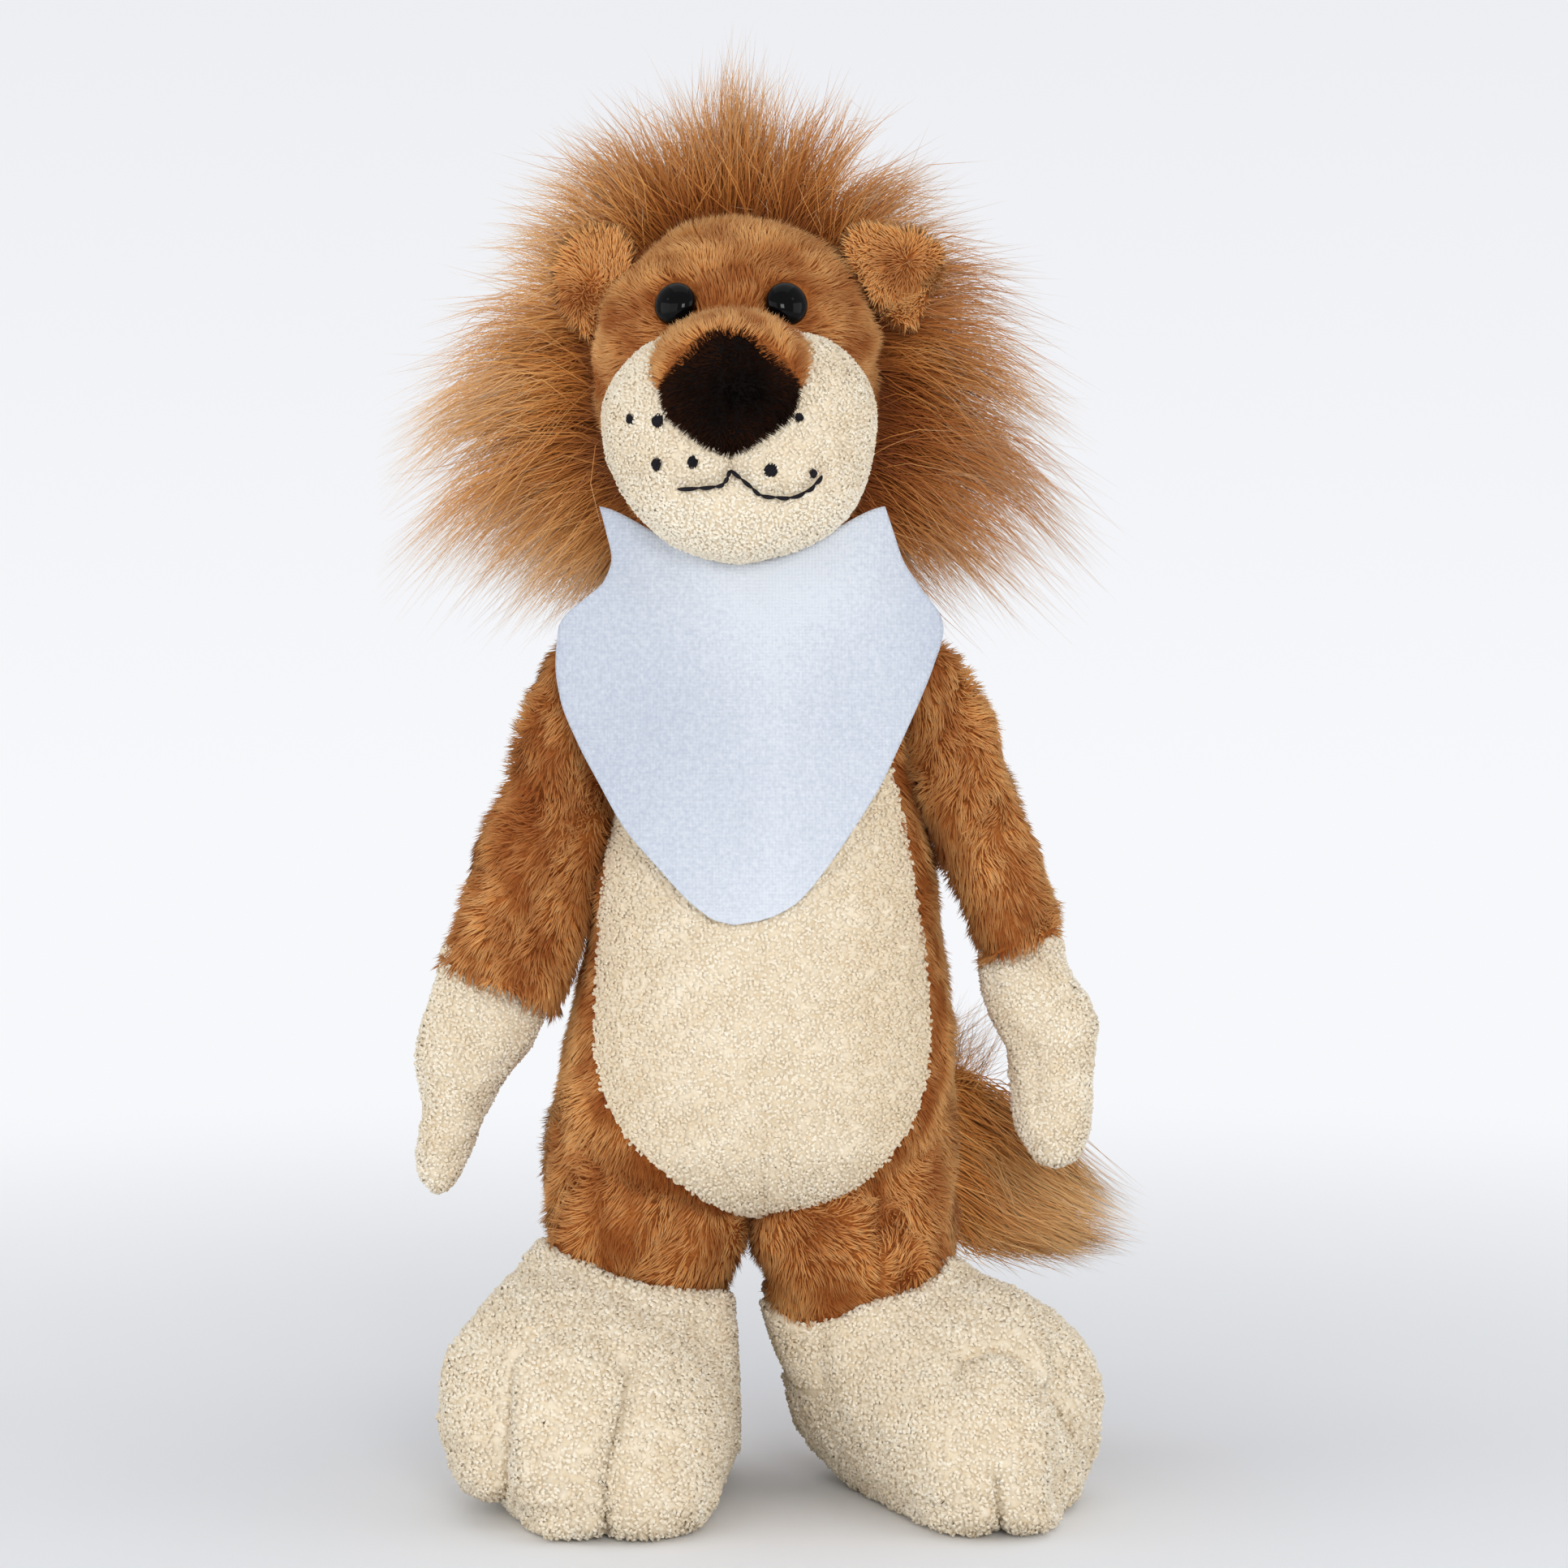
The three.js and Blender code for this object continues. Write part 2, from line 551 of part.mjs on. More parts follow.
function mouthSolid(shares) {
  const stand = thread.radius + gap;
  const points = shares.map(([across, up]) => onEllipsoid(muzzle, across, up, stand).place);
  const section = new THREE.Shape();
  section.absarc(0, 0, thread.radius, 0, 2 * Math.PI);
  return solidOf(new THREE.ExtrudeGeometry(section, {
    extrudePath: new THREE.CatmullRomCurve3(points),
    steps: thread.steps, curveSegments: thread.sides / 2, bevelEnabled: false,
  }));
}

// The place on a faceted bag straight behind a point in front of it
function seatOn(bag, { place, outward }, stand) {
  const from = place.clone().setY(-reach);
  const [hit] = new THREE.Raycaster(from, yAxis).intersectObject(new THREE.Mesh(bag));
  return { place: hit.point.addScaledVector(outward, stand), outward };
}

function whiskerSolid(muzzleBag, [across, up]) {
  const dot = new THREE.SphereGeometry(1, thread.dotSides, thread.dotSides / 2);
  dot.scale(thread.dotRadius, thread.dotHeight, thread.dotRadius);
  const ideal = onEllipsoid(muzzle, across, up, 0);
  return stoodOn(dot, seatOn(muzzleBag, ideal, thread.dotHeight + gap));
}

function maneSolid(cutters) {
  const rings = maneShares.map(([up, wide, deep]) => ({
    centre: new THREE.Vector3(mane.x, mane.y, mane.bottom + (mane.top - mane.bottom) * up),
    across: xAxis, up: yAxis, wide: mane.halfWidth * wide, deep: mane.halfDepth * deep,
  }));
  const front = new THREE.BoxGeometry(reach, reach, reach).translate(0, mane.front - reach / 2, 0);
  front.rotateX(Math.atan(mane.slope)).translate(0, 0, mane.earHeight);
  const height = mane.collarTop - body.bottom;
  const collar = new THREE.CylinderGeometry(mane.collar, mane.collar, height, bodySides);
  collar.rotateX(Math.PI / 2).translate(0, 0, mane.collarTop - height / 2);
  const bag = solidOf(loft(rings, mane.sides, roundPower));
  return cutBy(bag, [solidOf(front), solidOf(collar), ...cutters]);
}

function headPieces() {
  const headBag = ellipsoid(head, headSides);
  const muzzleBag = ellipsoid(muzzle, muzzleSides);
  const bridgeBag = ellipsoid(bridge, bridgeSides);
  const noseBag = noseGeometry();
  const inside = clothWall + fillGap;
  const neckSpace = neckPost(gap);
  const headSpace = swollen(headBag, gap);
  const muzzleSpace = swollen(muzzleBag, gap);
  const eyes = [-1, 1].map(eyeSolids);
  const shankHoles = eyes.map((solids) => solids.shankHole);
  const pockets = eyes.map((solids) => solids.pocket);
  const headCover = cutBy(solidOf(headBag), [swollen(headBag, -clothWall), neckSpace, ...shankHoles]);
  const headCore = swollen(ellipsoid(head, headSides * fillShare), -inside);
  const muzzleCover = cutBy(solidOf(muzzleBag), [swollen(muzzleBag, -clothWall), headSpace]);
  const muzzleCore = swollen(ellipsoid(muzzle, muzzleSides * fillShare), -inside);
  const bridgeCover = cutBy(solidOf(bridgeBag), [headSpace, muzzleSpace, swollen(noseBag, gap)]);
  const pieces = [
    meshOf('head_cover', headCover, plush),
    meshOf('head_stuffing', cutBy(headCore, [neckSpace, ...shankHoles, ...pockets]), filling),
    meshOf('muzzle_cover', muzzleCover, fleece),
    meshOf('muzzle_stuffing', muzzleCore.subtract(headSpace), filling),
    meshOf('nose', solidOf(noseBag).subtract(muzzleSpace), nosePlush),
    meshOf('nose_bridge', bridgeCover, plush),
    meshOf('mane', maneSolid([headSpace, neckSpace]), longPile),
  ];
  ['right', 'left'].forEach((side, i) => {
    const { lining, outside } = earSolids(earPlaces[side]);
    pieces.push(
      meshOf(`${side}_eye`, eyes[i].button, glossyPlastic),
      meshOf(`${side}_eye_washer`, eyes[i].washer, washerPlastic),
      meshOf(`${side}_ear_lining`, lining.subtract(headSpace), plush),
      meshOf(`${side}_ear_back`, outside.subtract(headSpace), plush),
      meshOf(`mouth_stitch_${side}`, mouthSolid(mouthShares[side]), stitching),
    );
  });
  whiskerShares.forEach((place, i) => {
    pieces.push(meshOf(`whisker_dot_${i + 1}`, whiskerSolid(muzzleBag, place), stitching));
  });
  return pieces;
}

// Neckerchief: rows of points across the cloth, front and back faces joined round the edge
function bibSolid() {
  const drop = bib.cornerHeight - bib.tipHeight;
  const columns = bib.columns;
  const rowAt = ([down, wide, sag, depth, bow]) => Array.from({ length: columns + 1 }, (_, j) => {
    const s = (2 * j) / columns - 1;
    return new THREE.Vector3(
      bib.middle + s * bib.halfWidth * wide,
      -bib.depth * (depth - bow * s * s),
      bib.cornerHeight - drop * (down + sag * (1 - s * s)),
    );
  });
  const rows = bibShares.map(rowAt);
  const normalAt = (i, j) => {
    const across = rows[i][Math.min(j + 1, columns)].clone().sub(rows[i][Math.max(j - 1, 0)]);
    const down = rows[Math.min(i + 1, rows.length - 1)][j].clone().sub(rows[Math.max(i - 1, 0)][j]);
    return across.cross(down).normalize();
  };
  const places = [];
  [1, -1].forEach((face) => rows.forEach((row, i) => row.forEach((point, j) => {
    places.push(point.clone().addScaledVector(normalAt(i, j), (face * bib.cloth) / 2).toArray());
  })));
  const layer = rows.length * (columns + 1);
  const at = (face, i, j) => face * layer + i * (columns + 1) + j;
  const faces = [];
  const quad = (a, b, c, d) => faces.push(a, b, c, a, c, d);
  for (let i = 0; i + 1 < rows.length; i += 1) {
    for (let j = 0; j < columns; j += 1) {
      quad(at(0, i, j), at(0, i, j + 1), at(0, i + 1, j + 1), at(0, i + 1, j));
      quad(at(1, i, j), at(1, i + 1, j), at(1, i + 1, j + 1), at(1, i, j + 1));
    }
    quad(at(0, i, 0), at(0, i + 1, 0), at(1, i + 1, 0), at(1, i, 0));
    quad(at(0, i, columns), at(1, i, columns), at(1, i + 1, columns), at(0, i + 1, columns));
  }
  for (let j = 0; j < columns; j += 1) {
    const end = rows.length - 1;
    quad(at(0, 0, j), at(1, 0, j), at(1, 0, j + 1), at(0, 0, j + 1));
    quad(at(0, end, j), at(0, end, j + 1), at(1, end, j + 1), at(1, end, j));
  }
  const geometry = new THREE.BufferGeometry();
  geometry.setAttribute('position', new THREE.Float32BufferAttribute(places.flat(), 3));
  geometry.setIndex(faces);
  const solid = solidOf(geometry);
  return solid.volume() > 0 ? solid : solidOf(geometry.setIndex(faces.reverse()));
}

function neckbandSolid(cutters) {
  const outline = new THREE.Shape();
  outline.absellipse(0, -neckband.forward, neckband.halfWidth, neckband.halfDepth, 0, 2 * Math.PI);
  const hole = new THREE.Path();
  hole.absellipse(0, 0, neckband.side, neckband.back, 0, 2 * Math.PI);
  outline.holes.push(hole);
  const band = new THREE.ExtrudeGeometry(outline, {
    depth: neckband.height, bevelEnabled: false, curveSegments: bodySides / 2,
  });
  return cutBy(solidOf(band.translate(0, 0, neckband.bottom)), cutters);
}

// Belly panel: the part of the body's front inside the panel's outline
function panelBlock(extra) {
  const height = belly.top - belly.bottom;
  const side = (sign) => bellyShares.map(([up, wide]) => new THREE.Vector2(
    belly.middle + sign * (belly.halfWidth * wide + extra),
    belly.bottom - extra + (height + 2 * extra) * up,
  ));
  const outline = new THREE.Shape([...side(1), ...side(-1).reverse()]);
  const block = new THREE.ExtrudeGeometry(outline, { depth: reach, bevelEnabled: false });
  return solidOf(block.rotateX(Math.PI / 2));
}

// Tail
function tailRoot(radius) {
  const ball = new THREE.SphereGeometry(radius, tail.rootSides, tail.rootRows).rotateX(Math.PI / 2);
  return solidOf(ball.translate(tail.root.x, tail.root.y, tail.root.z));
}

function tailSolid(radius) {
  const points = [tail.root, ...tailTurns].map(vector);
  const section = new THREE.Shape();
  section.absarc(0, 0, radius, 0, 2 * Math.PI);
  const tube = new THREE.ExtrudeGeometry(section, {
    extrudePath: new THREE.CatmullRomCurve3(points),
    steps: tail.steps, curveSegments: tail.sides / 2, bevelEnabled: false,
  });
  return solidOf(tube).add(tailRoot(radius));
}

function tuftSolid() {
  const geometry = new THREE.SphereGeometry(1, tuft.sides, tuft.sides / 2);
  geometry.scale(tuft.halfLength, tuft.halfDepth, tuft.halfHeight).rotateY(radians(tuft.droop));
  return solidOf(geometry.translate(tuft.x, tuft.y, tuft.z));
}

function tailPieces() {
  return [
    meshOf('tail_cover', tailSolid(tail.radius).subtract(tailSolid(tail.radius - clothWall)), plush),
    meshOf('tail_stuffing', tailSolid(tail.radius - clothWall - fillGap), filling),
    meshOf('tail_tuft', tuftSolid().subtract(tailSolid(tail.radius + gap)), longPile),
  ];
}

function torsoPieces(bodyBag) {
  const inside = clothWall + fillGap;
  const cutters = [
    ...legs.map(legSpace), ...arms.map((arm) => shoulderSolid(arm, gap, roundFor(armSides))),
    tailRoot(tail.radius + gap),
  ];
  const mouth = new THREE.CylinderGeometry(
    body.neck - clothWall, body.neck - clothWall, body.neck, bodySides,
  );
  mouth.rotateX(Math.PI / 2).translate(0, 0, body.neckTop);
  const shell = cutBy(solidOf(bodyBag), [swollen(bodyBag, -clothWall), solidOf(mouth), ...cutters]);
  const core = swollen(bodyGeometry(bodySides * fillShare), -inside);
  return [
    meshOf('body_cover', shell.subtract(panelBlock(gap)), plush),
    meshOf('belly_panel', shell.intersect(panelBlock(0)), fleece),
    meshOf('body_stuffing', cutBy(core, cutters), filling),
    meshOf('bib', bibSolid(), kerchiefCloth),
    meshOf('bib_neckband', neckbandSolid([swollen(bodyBag, gap)]), kerchiefCloth),
  ];
}

// The whole toy; a sleeve keeps out of the body all but its own shoulder ball
const bodyBag = bodyGeometry(bodySides);
const bodyKept = cutBy(swollen(bodyBag, underarm), arms.map((arm) => shoulderSolid(arm, 0)));
const lion = new THREE.Group();
lion.add(
  ...torsoPieces(bodyBag),
  ...headPieces(),
  ...arms.flatMap((arm) => armPieces(arm, bodyKept)),
  ...legs.flatMap(legPieces),
  ...tailPieces(),
);
lion.position.set(-floorCentre.x, -floorCentre.y, 0);
lion.updateMatrixWorld(true);

export default lion;
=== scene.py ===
import math
import bpy
import numpy as np
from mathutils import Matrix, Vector


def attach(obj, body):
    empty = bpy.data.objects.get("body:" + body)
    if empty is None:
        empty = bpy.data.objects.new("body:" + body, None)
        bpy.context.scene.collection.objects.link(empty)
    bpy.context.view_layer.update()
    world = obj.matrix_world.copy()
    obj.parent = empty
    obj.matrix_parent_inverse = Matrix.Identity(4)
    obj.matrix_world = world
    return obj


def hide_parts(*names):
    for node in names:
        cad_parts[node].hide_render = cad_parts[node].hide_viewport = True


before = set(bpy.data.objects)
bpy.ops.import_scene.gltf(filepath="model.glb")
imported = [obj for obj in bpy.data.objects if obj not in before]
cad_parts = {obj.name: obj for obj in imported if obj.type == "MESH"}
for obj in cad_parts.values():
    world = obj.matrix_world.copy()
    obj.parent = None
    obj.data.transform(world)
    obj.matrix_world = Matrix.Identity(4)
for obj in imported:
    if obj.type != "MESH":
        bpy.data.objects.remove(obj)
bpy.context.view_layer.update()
scene = bpy.context.scene
scene.view_settings.view_transform = 'Standard'
print("frame loaded")

# Shapes are worked out in millimetres in the toy's own drawing, whose zero lies beside the
# frame's, and come to the frame's metres when they are made meshes.
drawingZero = np.array([6.4, -1.5, 0.0])
right = np.array([1.0, 0.0, 0.0])
back = np.array([0.0, 1.0, 0.0])
upward = np.array([0.0, 0.0, 1.0])
# the camera: its place beside the drawing's zero, how far it stands in front of the upright
# plane through the toy's middle, how many degrees it looks down, and its lens
viewer = {"x": 7.8, "z": 210, "far": 1000, "tilt": 2.6, "lens": 98.07, "sensor": 36}


# Numbers and vectors

def unit(vectors):
    size = np.linalg.norm(vectors, axis=-1, keepdims=True)
    return vectors / np.maximum(size, 1e-9)


def ease(low, high, x):
    # 0 up to low, 1 from high on, and three squares less two cubes between
    t = np.clip((x - low) / (high - low), 0, 1)
    return t * t * (3 - 2 * t)


def bump(x, width):
    # the bell e to the minus square of x over width
    return np.exp(-(x / width) ** 2)


def through(x, places, values):
    # a cubic between neighbouring rows, whose slope at a row is the harmonic mean of the
    # slopes on both sides, or level where they differ in sign
    places, values = np.asarray(places, float), np.asarray(values, float)
    step = np.diff(places)
    slope = np.diff(values) / step
    before, after = slope[:-1], slope[1:]
    same = before * after > 0
    middle = np.where(same, 2 * before * after / np.where(same, before + after, 1), 0)
    tilt = np.concatenate([slope[:1], middle, slope[-1:]])
    i = np.clip(np.searchsorted(places, x, side='right') - 1, 0, len(step) - 1)
    t = np.clip((x - places[i]) / step[i], 0, 1)
    return (
        values[i] * (1 + 2 * t) * (1 - t) ** 2 + values[i + 1] * t * t * (3 - 2 * t)
        + step[i] * (tilt[i] * t * (1 - t) ** 2 - tilt[i + 1] * t * t * (1 - t))
    )


def drift(points, size, seed, parts=3):
    # a smooth random field: the sum of nine sine waves in random directions about size long
    rng = np.random.default_rng(seed)
    waves = unit(rng.normal(size=(9, 3))) * 2 * math.pi / (size * rng.uniform(0.7, 1.5, (9, 1)))
    phases = rng.uniform(0, 2 * math.pi, 9)
    amounts = rng.normal(size=(9, parts)) / 3
    return np.sin(points @ waves.T + phases) @ amounts


# Meshes

def putMesh(name, points, *faceSets, uv=None):
    corners = np.concatenate([faces.ravel() for faces in faceSets]).astype(np.int32)
    sizes = np.concatenate([np.full(len(faces), faces.shape[1]) for faces in faceSets])
    starts = np.concatenate([[0], np.cumsum(sizes)[:-1]]).astype(np.int32)
    mesh = bpy.data.meshes.new(name)
    mesh.vertices.add(len(points))
    placed = (points - drawingZero) * 0.001
    mesh.vertices.foreach_set("co", placed.ravel().astype(np.float32))
    mesh.loops.add(len(corners))
    mesh.loops.foreach_set("vertex_index", corners)
    mesh.polygons.add(len(sizes))
    mesh.polygons.foreach_set("loop_start", starts)
    mesh.polygons.foreach_set("use_smooth", np.ones(len(sizes), bool))
    mesh.update(calc_edges=True)
    if uv is not None:
        layer = mesh.uv_layers.new(name="OFBake")
        layer.uv.foreach_set("vector", uv[corners].ravel().astype(np.float32))
    piece = bpy.data.objects.new(name, mesh)
    scene.collection.objects.link(piece)
    return piece


def quadsOf(count, columns, wraps=True):
    # the faces between neighbouring rows and columns, by corner numbers
    i = np.arange(count - 1)[:, None] * columns
    j = np.arange(columns if wraps else columns - 1)[None]
    k = (j + 1) % columns
    return np.stack([i + j, i + k, i + columns + k, i + columns + j], -1).reshape(-1, 4)


def bag(name, grid):
    # a closed surface through rows of rings; the middle of each end ring is its pole
    count, columns = grid.shape[:2]
    points = np.concatenate([grid.reshape(-1, 3), [grid[0].mean(0), grid[-1].mean(0)]])
    quads = quadsOf(count, columns)
    corner, last = np.arange(columns), (count - 1) * columns
    following = (corner + 1) % columns
    first = np.stack([np.full(columns, count * columns), following, corner], -1)
    final = np.stack([np.full(columns, count * columns + 1), last + corner, last + following], -1)
    a, b, c, d = (points[quads[:, n]] for n in range(4))
    inside = (np.cross(b - a, c - a) * a).sum() + (np.cross(c - a, d - a) * a).sum()
    if inside < 0:
        quads, first, final = quads[:, ::-1], first[:, ::-1], final[:, ::-1]
    return putMesh(name, points, quads, first, final)


def sheetMesh(name, middle, wall):
    # a closed sheet: the grid moved half the wall both ways along its normals, and its rim
    count, columns = middle.shape[:2]
    along, across = np.gradient(middle, axis=0), np.gradient(middle, axis=1)
    normal = unit(np.cross(across, along)) * wall / 2
    points = np.concatenate([(middle + normal).reshape(-1, 3), (middle - normal).reshape(-1, 3)])
    layer = count * columns
    front = quadsOf(count, columns, wraps=False)[:, [0, 3, 2, 1]]
    rim = np.concatenate([
        np.arange(columns), np.arange(2, count + 1) * columns - 1,
        layer - 2 - np.arange(columns - 1), np.arange(count - 2, 0, -1) * columns,
    ])
    ahead = np.roll(rim, -1)
    edge = np.stack([rim, ahead, ahead + layer, rim + layer], -1)
    return putMesh(name, points, front, front[:, ::-1] + layer, edge)


def scatter(grid, perSquare, rng, wraps=True):
    # points at random over a grid, so many a square millimetre; its columns may wrap round
    here, ahead = (grid, np.roll(grid, -1, 1)) if wraps else (grid[:, :-1], grid[:, 1:])
    a, b, c, d = here[:-1], ahead[:-1], ahead[1:], here[1:]
    size = np.linalg.norm(np.cross(c - a, b - d), axis=-1) / 2
    counts = np.floor(size * perSquare + rng.random(size.shape)).astype(int).ravel()
    a, b, c, d = (np.repeat(part.reshape(-1, 3), counts, 0) for part in (a, b, c, d))
    s, t = rng.random((2, len(a), 1))
    points = (a * (1 - s) + b * s) * (1 - t) + (d * (1 - s) + c * s) * t
    normal = unit(np.cross(c - a, b - d))
    outward = points - grid.reshape(-1, 3).mean(0)
    return points, normal * np.sign((normal * outward).sum())


def tubes(name, paths, halfWidths, tone, skin, firm=0.65):
    # each path becomes a closed three-sided tube that tapers to its last point; the map's u
    # is its tone and its v runs from 0 at the root to 1 at the tip; its shading normals lean
    # towards the skin's, as light spreads through dense pile
    count, steps = paths.shape[:2]
    along = unit(np.diff(paths, axis=1))
    ahead = along.copy()
    ahead[:, 1:] = unit(along[:, 1:] + along[:, :-1])
    helper = np.where(np.abs(ahead[:, :1, 2:]) > 0.8, right, upward)
    side = unit(np.cross(ahead, helper))
    other = np.cross(ahead, side)
    turns = np.arange(3) * 2 * math.pi / 3
    ring = (
        side[:, :, None] * np.cos(turns)[:, None] + other[:, :, None] * np.sin(turns)[:, None]
    ) * halfWidths[..., None, None]
    rings = (paths[:, :-1, None] + ring).reshape(count, -1, 3)
    each = 3 * (steps - 1) + 1
    points = np.concatenate([rings, paths[:, -1:]], 1).reshape(-1, 3)
    faces = [[2, 1, 0]]
    for row in range(steps - 2):
        for m in range(3):
            n = (m + 1) % 3
            faces += [
                [3 * row + m, 3 * row + n, 3 * row + 3 + n],
                [3 * row + m, 3 * row + 3 + n, 3 * row + 3 + m],
            ]
    faces += [[each - 4 + m, each - 4 + (m + 1) % 3, each - 1] for m in range(3)]
    faces = (np.arange(count)[:, None, None] * each + np.array(faces)).reshape(-1, 3)
    u = np.concatenate([np.tile([-0.006, 0, 0.006], steps - 1), [0]])
    v = np.concatenate([np.repeat(np.arange(steps - 1) / (steps - 1), 3), [1]])
    uv = np.stack([
        np.clip(tone[:, None] + u, 0.01, 0.99), np.broadcast_to(v * 0.96 + 0.02, (count, each)),
    ], -1).reshape(-1, 2)
    piece = putMesh(name, points, faces, uv=uv)
    away = unit(rings - paths[:, :-1].repeat(3, 1))
    away = np.concatenate([away, unit(paths[:, -1:] - paths[:, -2:-1])], 1)
    piece.data.normals_split_custom_set_from_vertices(unit(away * firm + skin[:, None]).reshape(-1, 3))
    return piece


def finish(piece, body, material, replaced=()):
    piece.data.materials.append(material)
    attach(piece, body)
    if replaced:
        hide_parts(*replaced)
    return piece


# Colours and materials

def shade(red, green, blue):
    # a screen colour from 0 to 255, as the light value that the shaders take
    c = np.array([red, green, blue]) / 255
    return (*np.where(c <= 0.04045, c / 12.92, ((c + 0.055) / 1.055) ** 2.4), 1.0)


def newMaterial(name, roughness, specular, sheen=0.0):
    material = bpy.data.materials.new(name)
    material.use_nodes = True
    tree = material.node_tree
    surface = tree.nodes["Principled BSDF"]
    surface.inputs["Roughness"].default_value = roughness
    surface.inputs["Specular IOR Level"].default_value = specular
    surface.inputs["Sheen Weight"].default_value = sheen
    return material, tree, surface


def addNode(tree, kind, links=None, **values):
    node = tree.nodes.new(kind)
    for key, value in values.items():
        setattr(node, key, value)
    for socket, source in (links or {}).items():
        if isinstance(source, (int, float, tuple)):
            node.inputs[socket].default_value = source
        else:
            tree.links.new(source, node.inputs[socket])
    return node


def objectPlace(tree):
    return addNode(tree, "ShaderNodeTexCoord").outputs["Object"]


def noiseAt(tree, place, scale, detail):
    settings = {"Vector": place, "Scale": scale, "Detail": detail}
    return addNode(tree, "ShaderNodeTexNoise", settings).outputs["Fac"]


def mathOf(tree, operation, *sources):
    return addNode(tree, "ShaderNodeMath", dict(enumerate(sources)), operation=operation).outputs[0]


def blend(tree, share, first, second):
    # a colour from the first at share 0 to the second at 1
    return addNode(tree, "ShaderNodeMix", {0: share, 6: first, 7: second}, data_type='RGBA').outputs[2]


def rampOf(tree, source, stops):
    ramp = addNode(tree, "ShaderNodeValToRGB", {"Fac": source})
    while len(ramp.color_ramp.elements) < len(stops):
        ramp.color_ramp.elements.new(0.5)
    for element, (place, colour) in zip(ramp.color_ramp.elements, stops):
        element.position, element.color = place, colour
    return ramp.outputs["Color"]


def makeMottle():
    # colour between dark and light by two noises, and their height, for cloth of any pile
    group = bpy.data.node_groups.new("clothMottle", "ShaderNodeTree")
    for name, kind in (("Dark", "Color"), ("Light", "Color"), ("Patch", "Float"), ("Grain", "Float")):
        group.interface.new_socket(name, in_out='INPUT', socket_type="NodeSocket" + kind)
    for name, kind in (("Colour", "Color"), ("Height", "Float")):
        group.interface.new_socket(name, in_out='OUTPUT', socket_type="NodeSocket" + kind)
    start = addNode(group, "NodeGroupInput").outputs
    place = objectPlace(group)
    grain = noiseAt(group, place, start["Grain"], 4.0)
    share = mathOf(group, 'ADD', noiseAt(group, place, start["Patch"], 3.0), grain)
    spread = addNode(group, "ShaderNodeMapRange", {"Value": share, "From Min": 0.75, "From Max": 1.25})
    colour = blend(group, spread.outputs[0], start["Dark"], start["Light"])
    addNode(group, "NodeGroupOutput", {"Colour": colour, "Height": grain})
    return group


mottle = makeMottle()


def clothMaterial(name, dark, light, patch, grain, depth, roughness=0.95):
    material, tree, surface = newMaterial(name, roughness, 0.15)
    settings = {"Dark": dark, "Light": light, "Patch": patch, "Grain": grain}
    cloth = addNode(tree, "ShaderNodeGroup", settings, node_tree=mottle)
    lift = addNode(tree, "ShaderNodeBump", {
        "Strength": 1.0, "Distance": depth, "Height": cloth.outputs["Height"]})
    tree.links.new(cloth.outputs["Colour"], surface.inputs["Base Color"])
    tree.links.new(lift.outputs["Normal"], surface.inputs["Normal"])
    return material


def pileMaterial(name, darkStops, lightStops, roughness=0.75, specular=0.25):
    # along each fibre the colour runs through the stops, the dark ones at tone 0, light at 1; the stops
    # darken towards the root, painted shade where the fibres shade one another
    material, tree, surface = newMaterial(name, roughness, specular)
    tone, along = addNode(tree, "ShaderNodeSeparateXYZ", {
        0: addNode(tree, "ShaderNodeUVMap", uv_map="OFBake").outputs["UV"]}).outputs[:2]
    colour = blend(tree, tone, rampOf(tree, along, darkStops), rampOf(tree, along, lightStops))
    tree.links.new(colour, surface.inputs["Base Color"])
    return material


plushCloth = clothMaterial(
    "plushCloth", shade(112, 56, 18), shade(170, 100, 46), 90.0, 1400.0, 0.00015)
# the pile colours darken towards the fibres' roots: painted shade among the fibres
plushPile = pileMaterial(
    "plushPile",
    [(0.0, shade(100, 42, 10)), (0.45, shade(158, 82, 28)), (1.0, shade(190, 116, 56))],
    [(0.0, shade(164, 92, 38)), (0.45, shade(230, 156, 84)), (1.0, shade(254, 204, 138))])
# the tuft's colours are raised as painted light, where it lies in shade behind the body and hand
tuftPile = pileMaterial(
    "tuftPile",
    [(0.0, shade(136, 66, 18)), (0.5, shade(204, 120, 46)), (1.0, shade(232, 160, 88))],
    [(0.0, shade(188, 110, 46)), (0.5, shade(248, 174, 92)), (1.0, shade(254, 218, 160))],
    roughness=0.55, specular=0.2)
fleeceCloth = clothMaterial(
    "fleeceCloth", shade(230, 213, 184), shade(246, 234, 212), 160.0, 900.0, 0.00012)
fleeceLoops = pileMaterial(
    "fleeceLoops",
    [(0.0, shade(222, 200, 166)), (0.5, shade(236, 217, 187)), (1.0, shade(244, 230, 205))],
    [(0.0, shade(238, 221, 192)), (0.5, shade(251, 240, 219)), (1.0, shade(255, 250, 236))],
    roughness=0.85, specular=0.15)
longPile = pileMaterial(
    "longPile",
    [(0.0, shade(90, 38, 8)), (0.35, shade(146, 74, 20)), (0.7, shade(198, 122, 54)),
     (1.0, shade(240, 208, 168))],
    [(0.0, shade(140, 70, 22)), (0.35, shade(210, 132, 54)), (0.7, shade(244, 184, 112)),
     (1.0, shade(255, 238, 212))], roughness=0.5, specular=0.3)
nosePile = pileMaterial(
    "nosePile",
    [(0.0, shade(4, 2, 1)), (1.0, shade(10, 5, 3))],
    [(0.0, shade(14, 7, 4)), (1.0, shade(62, 34, 20))], roughness=0.9, specular=0.05)
noseCloth = clothMaterial("noseCloth", shade(8, 4, 3), shade(18, 10, 7), 200.0, 1500.0, 0.0004)


# The toy's forms

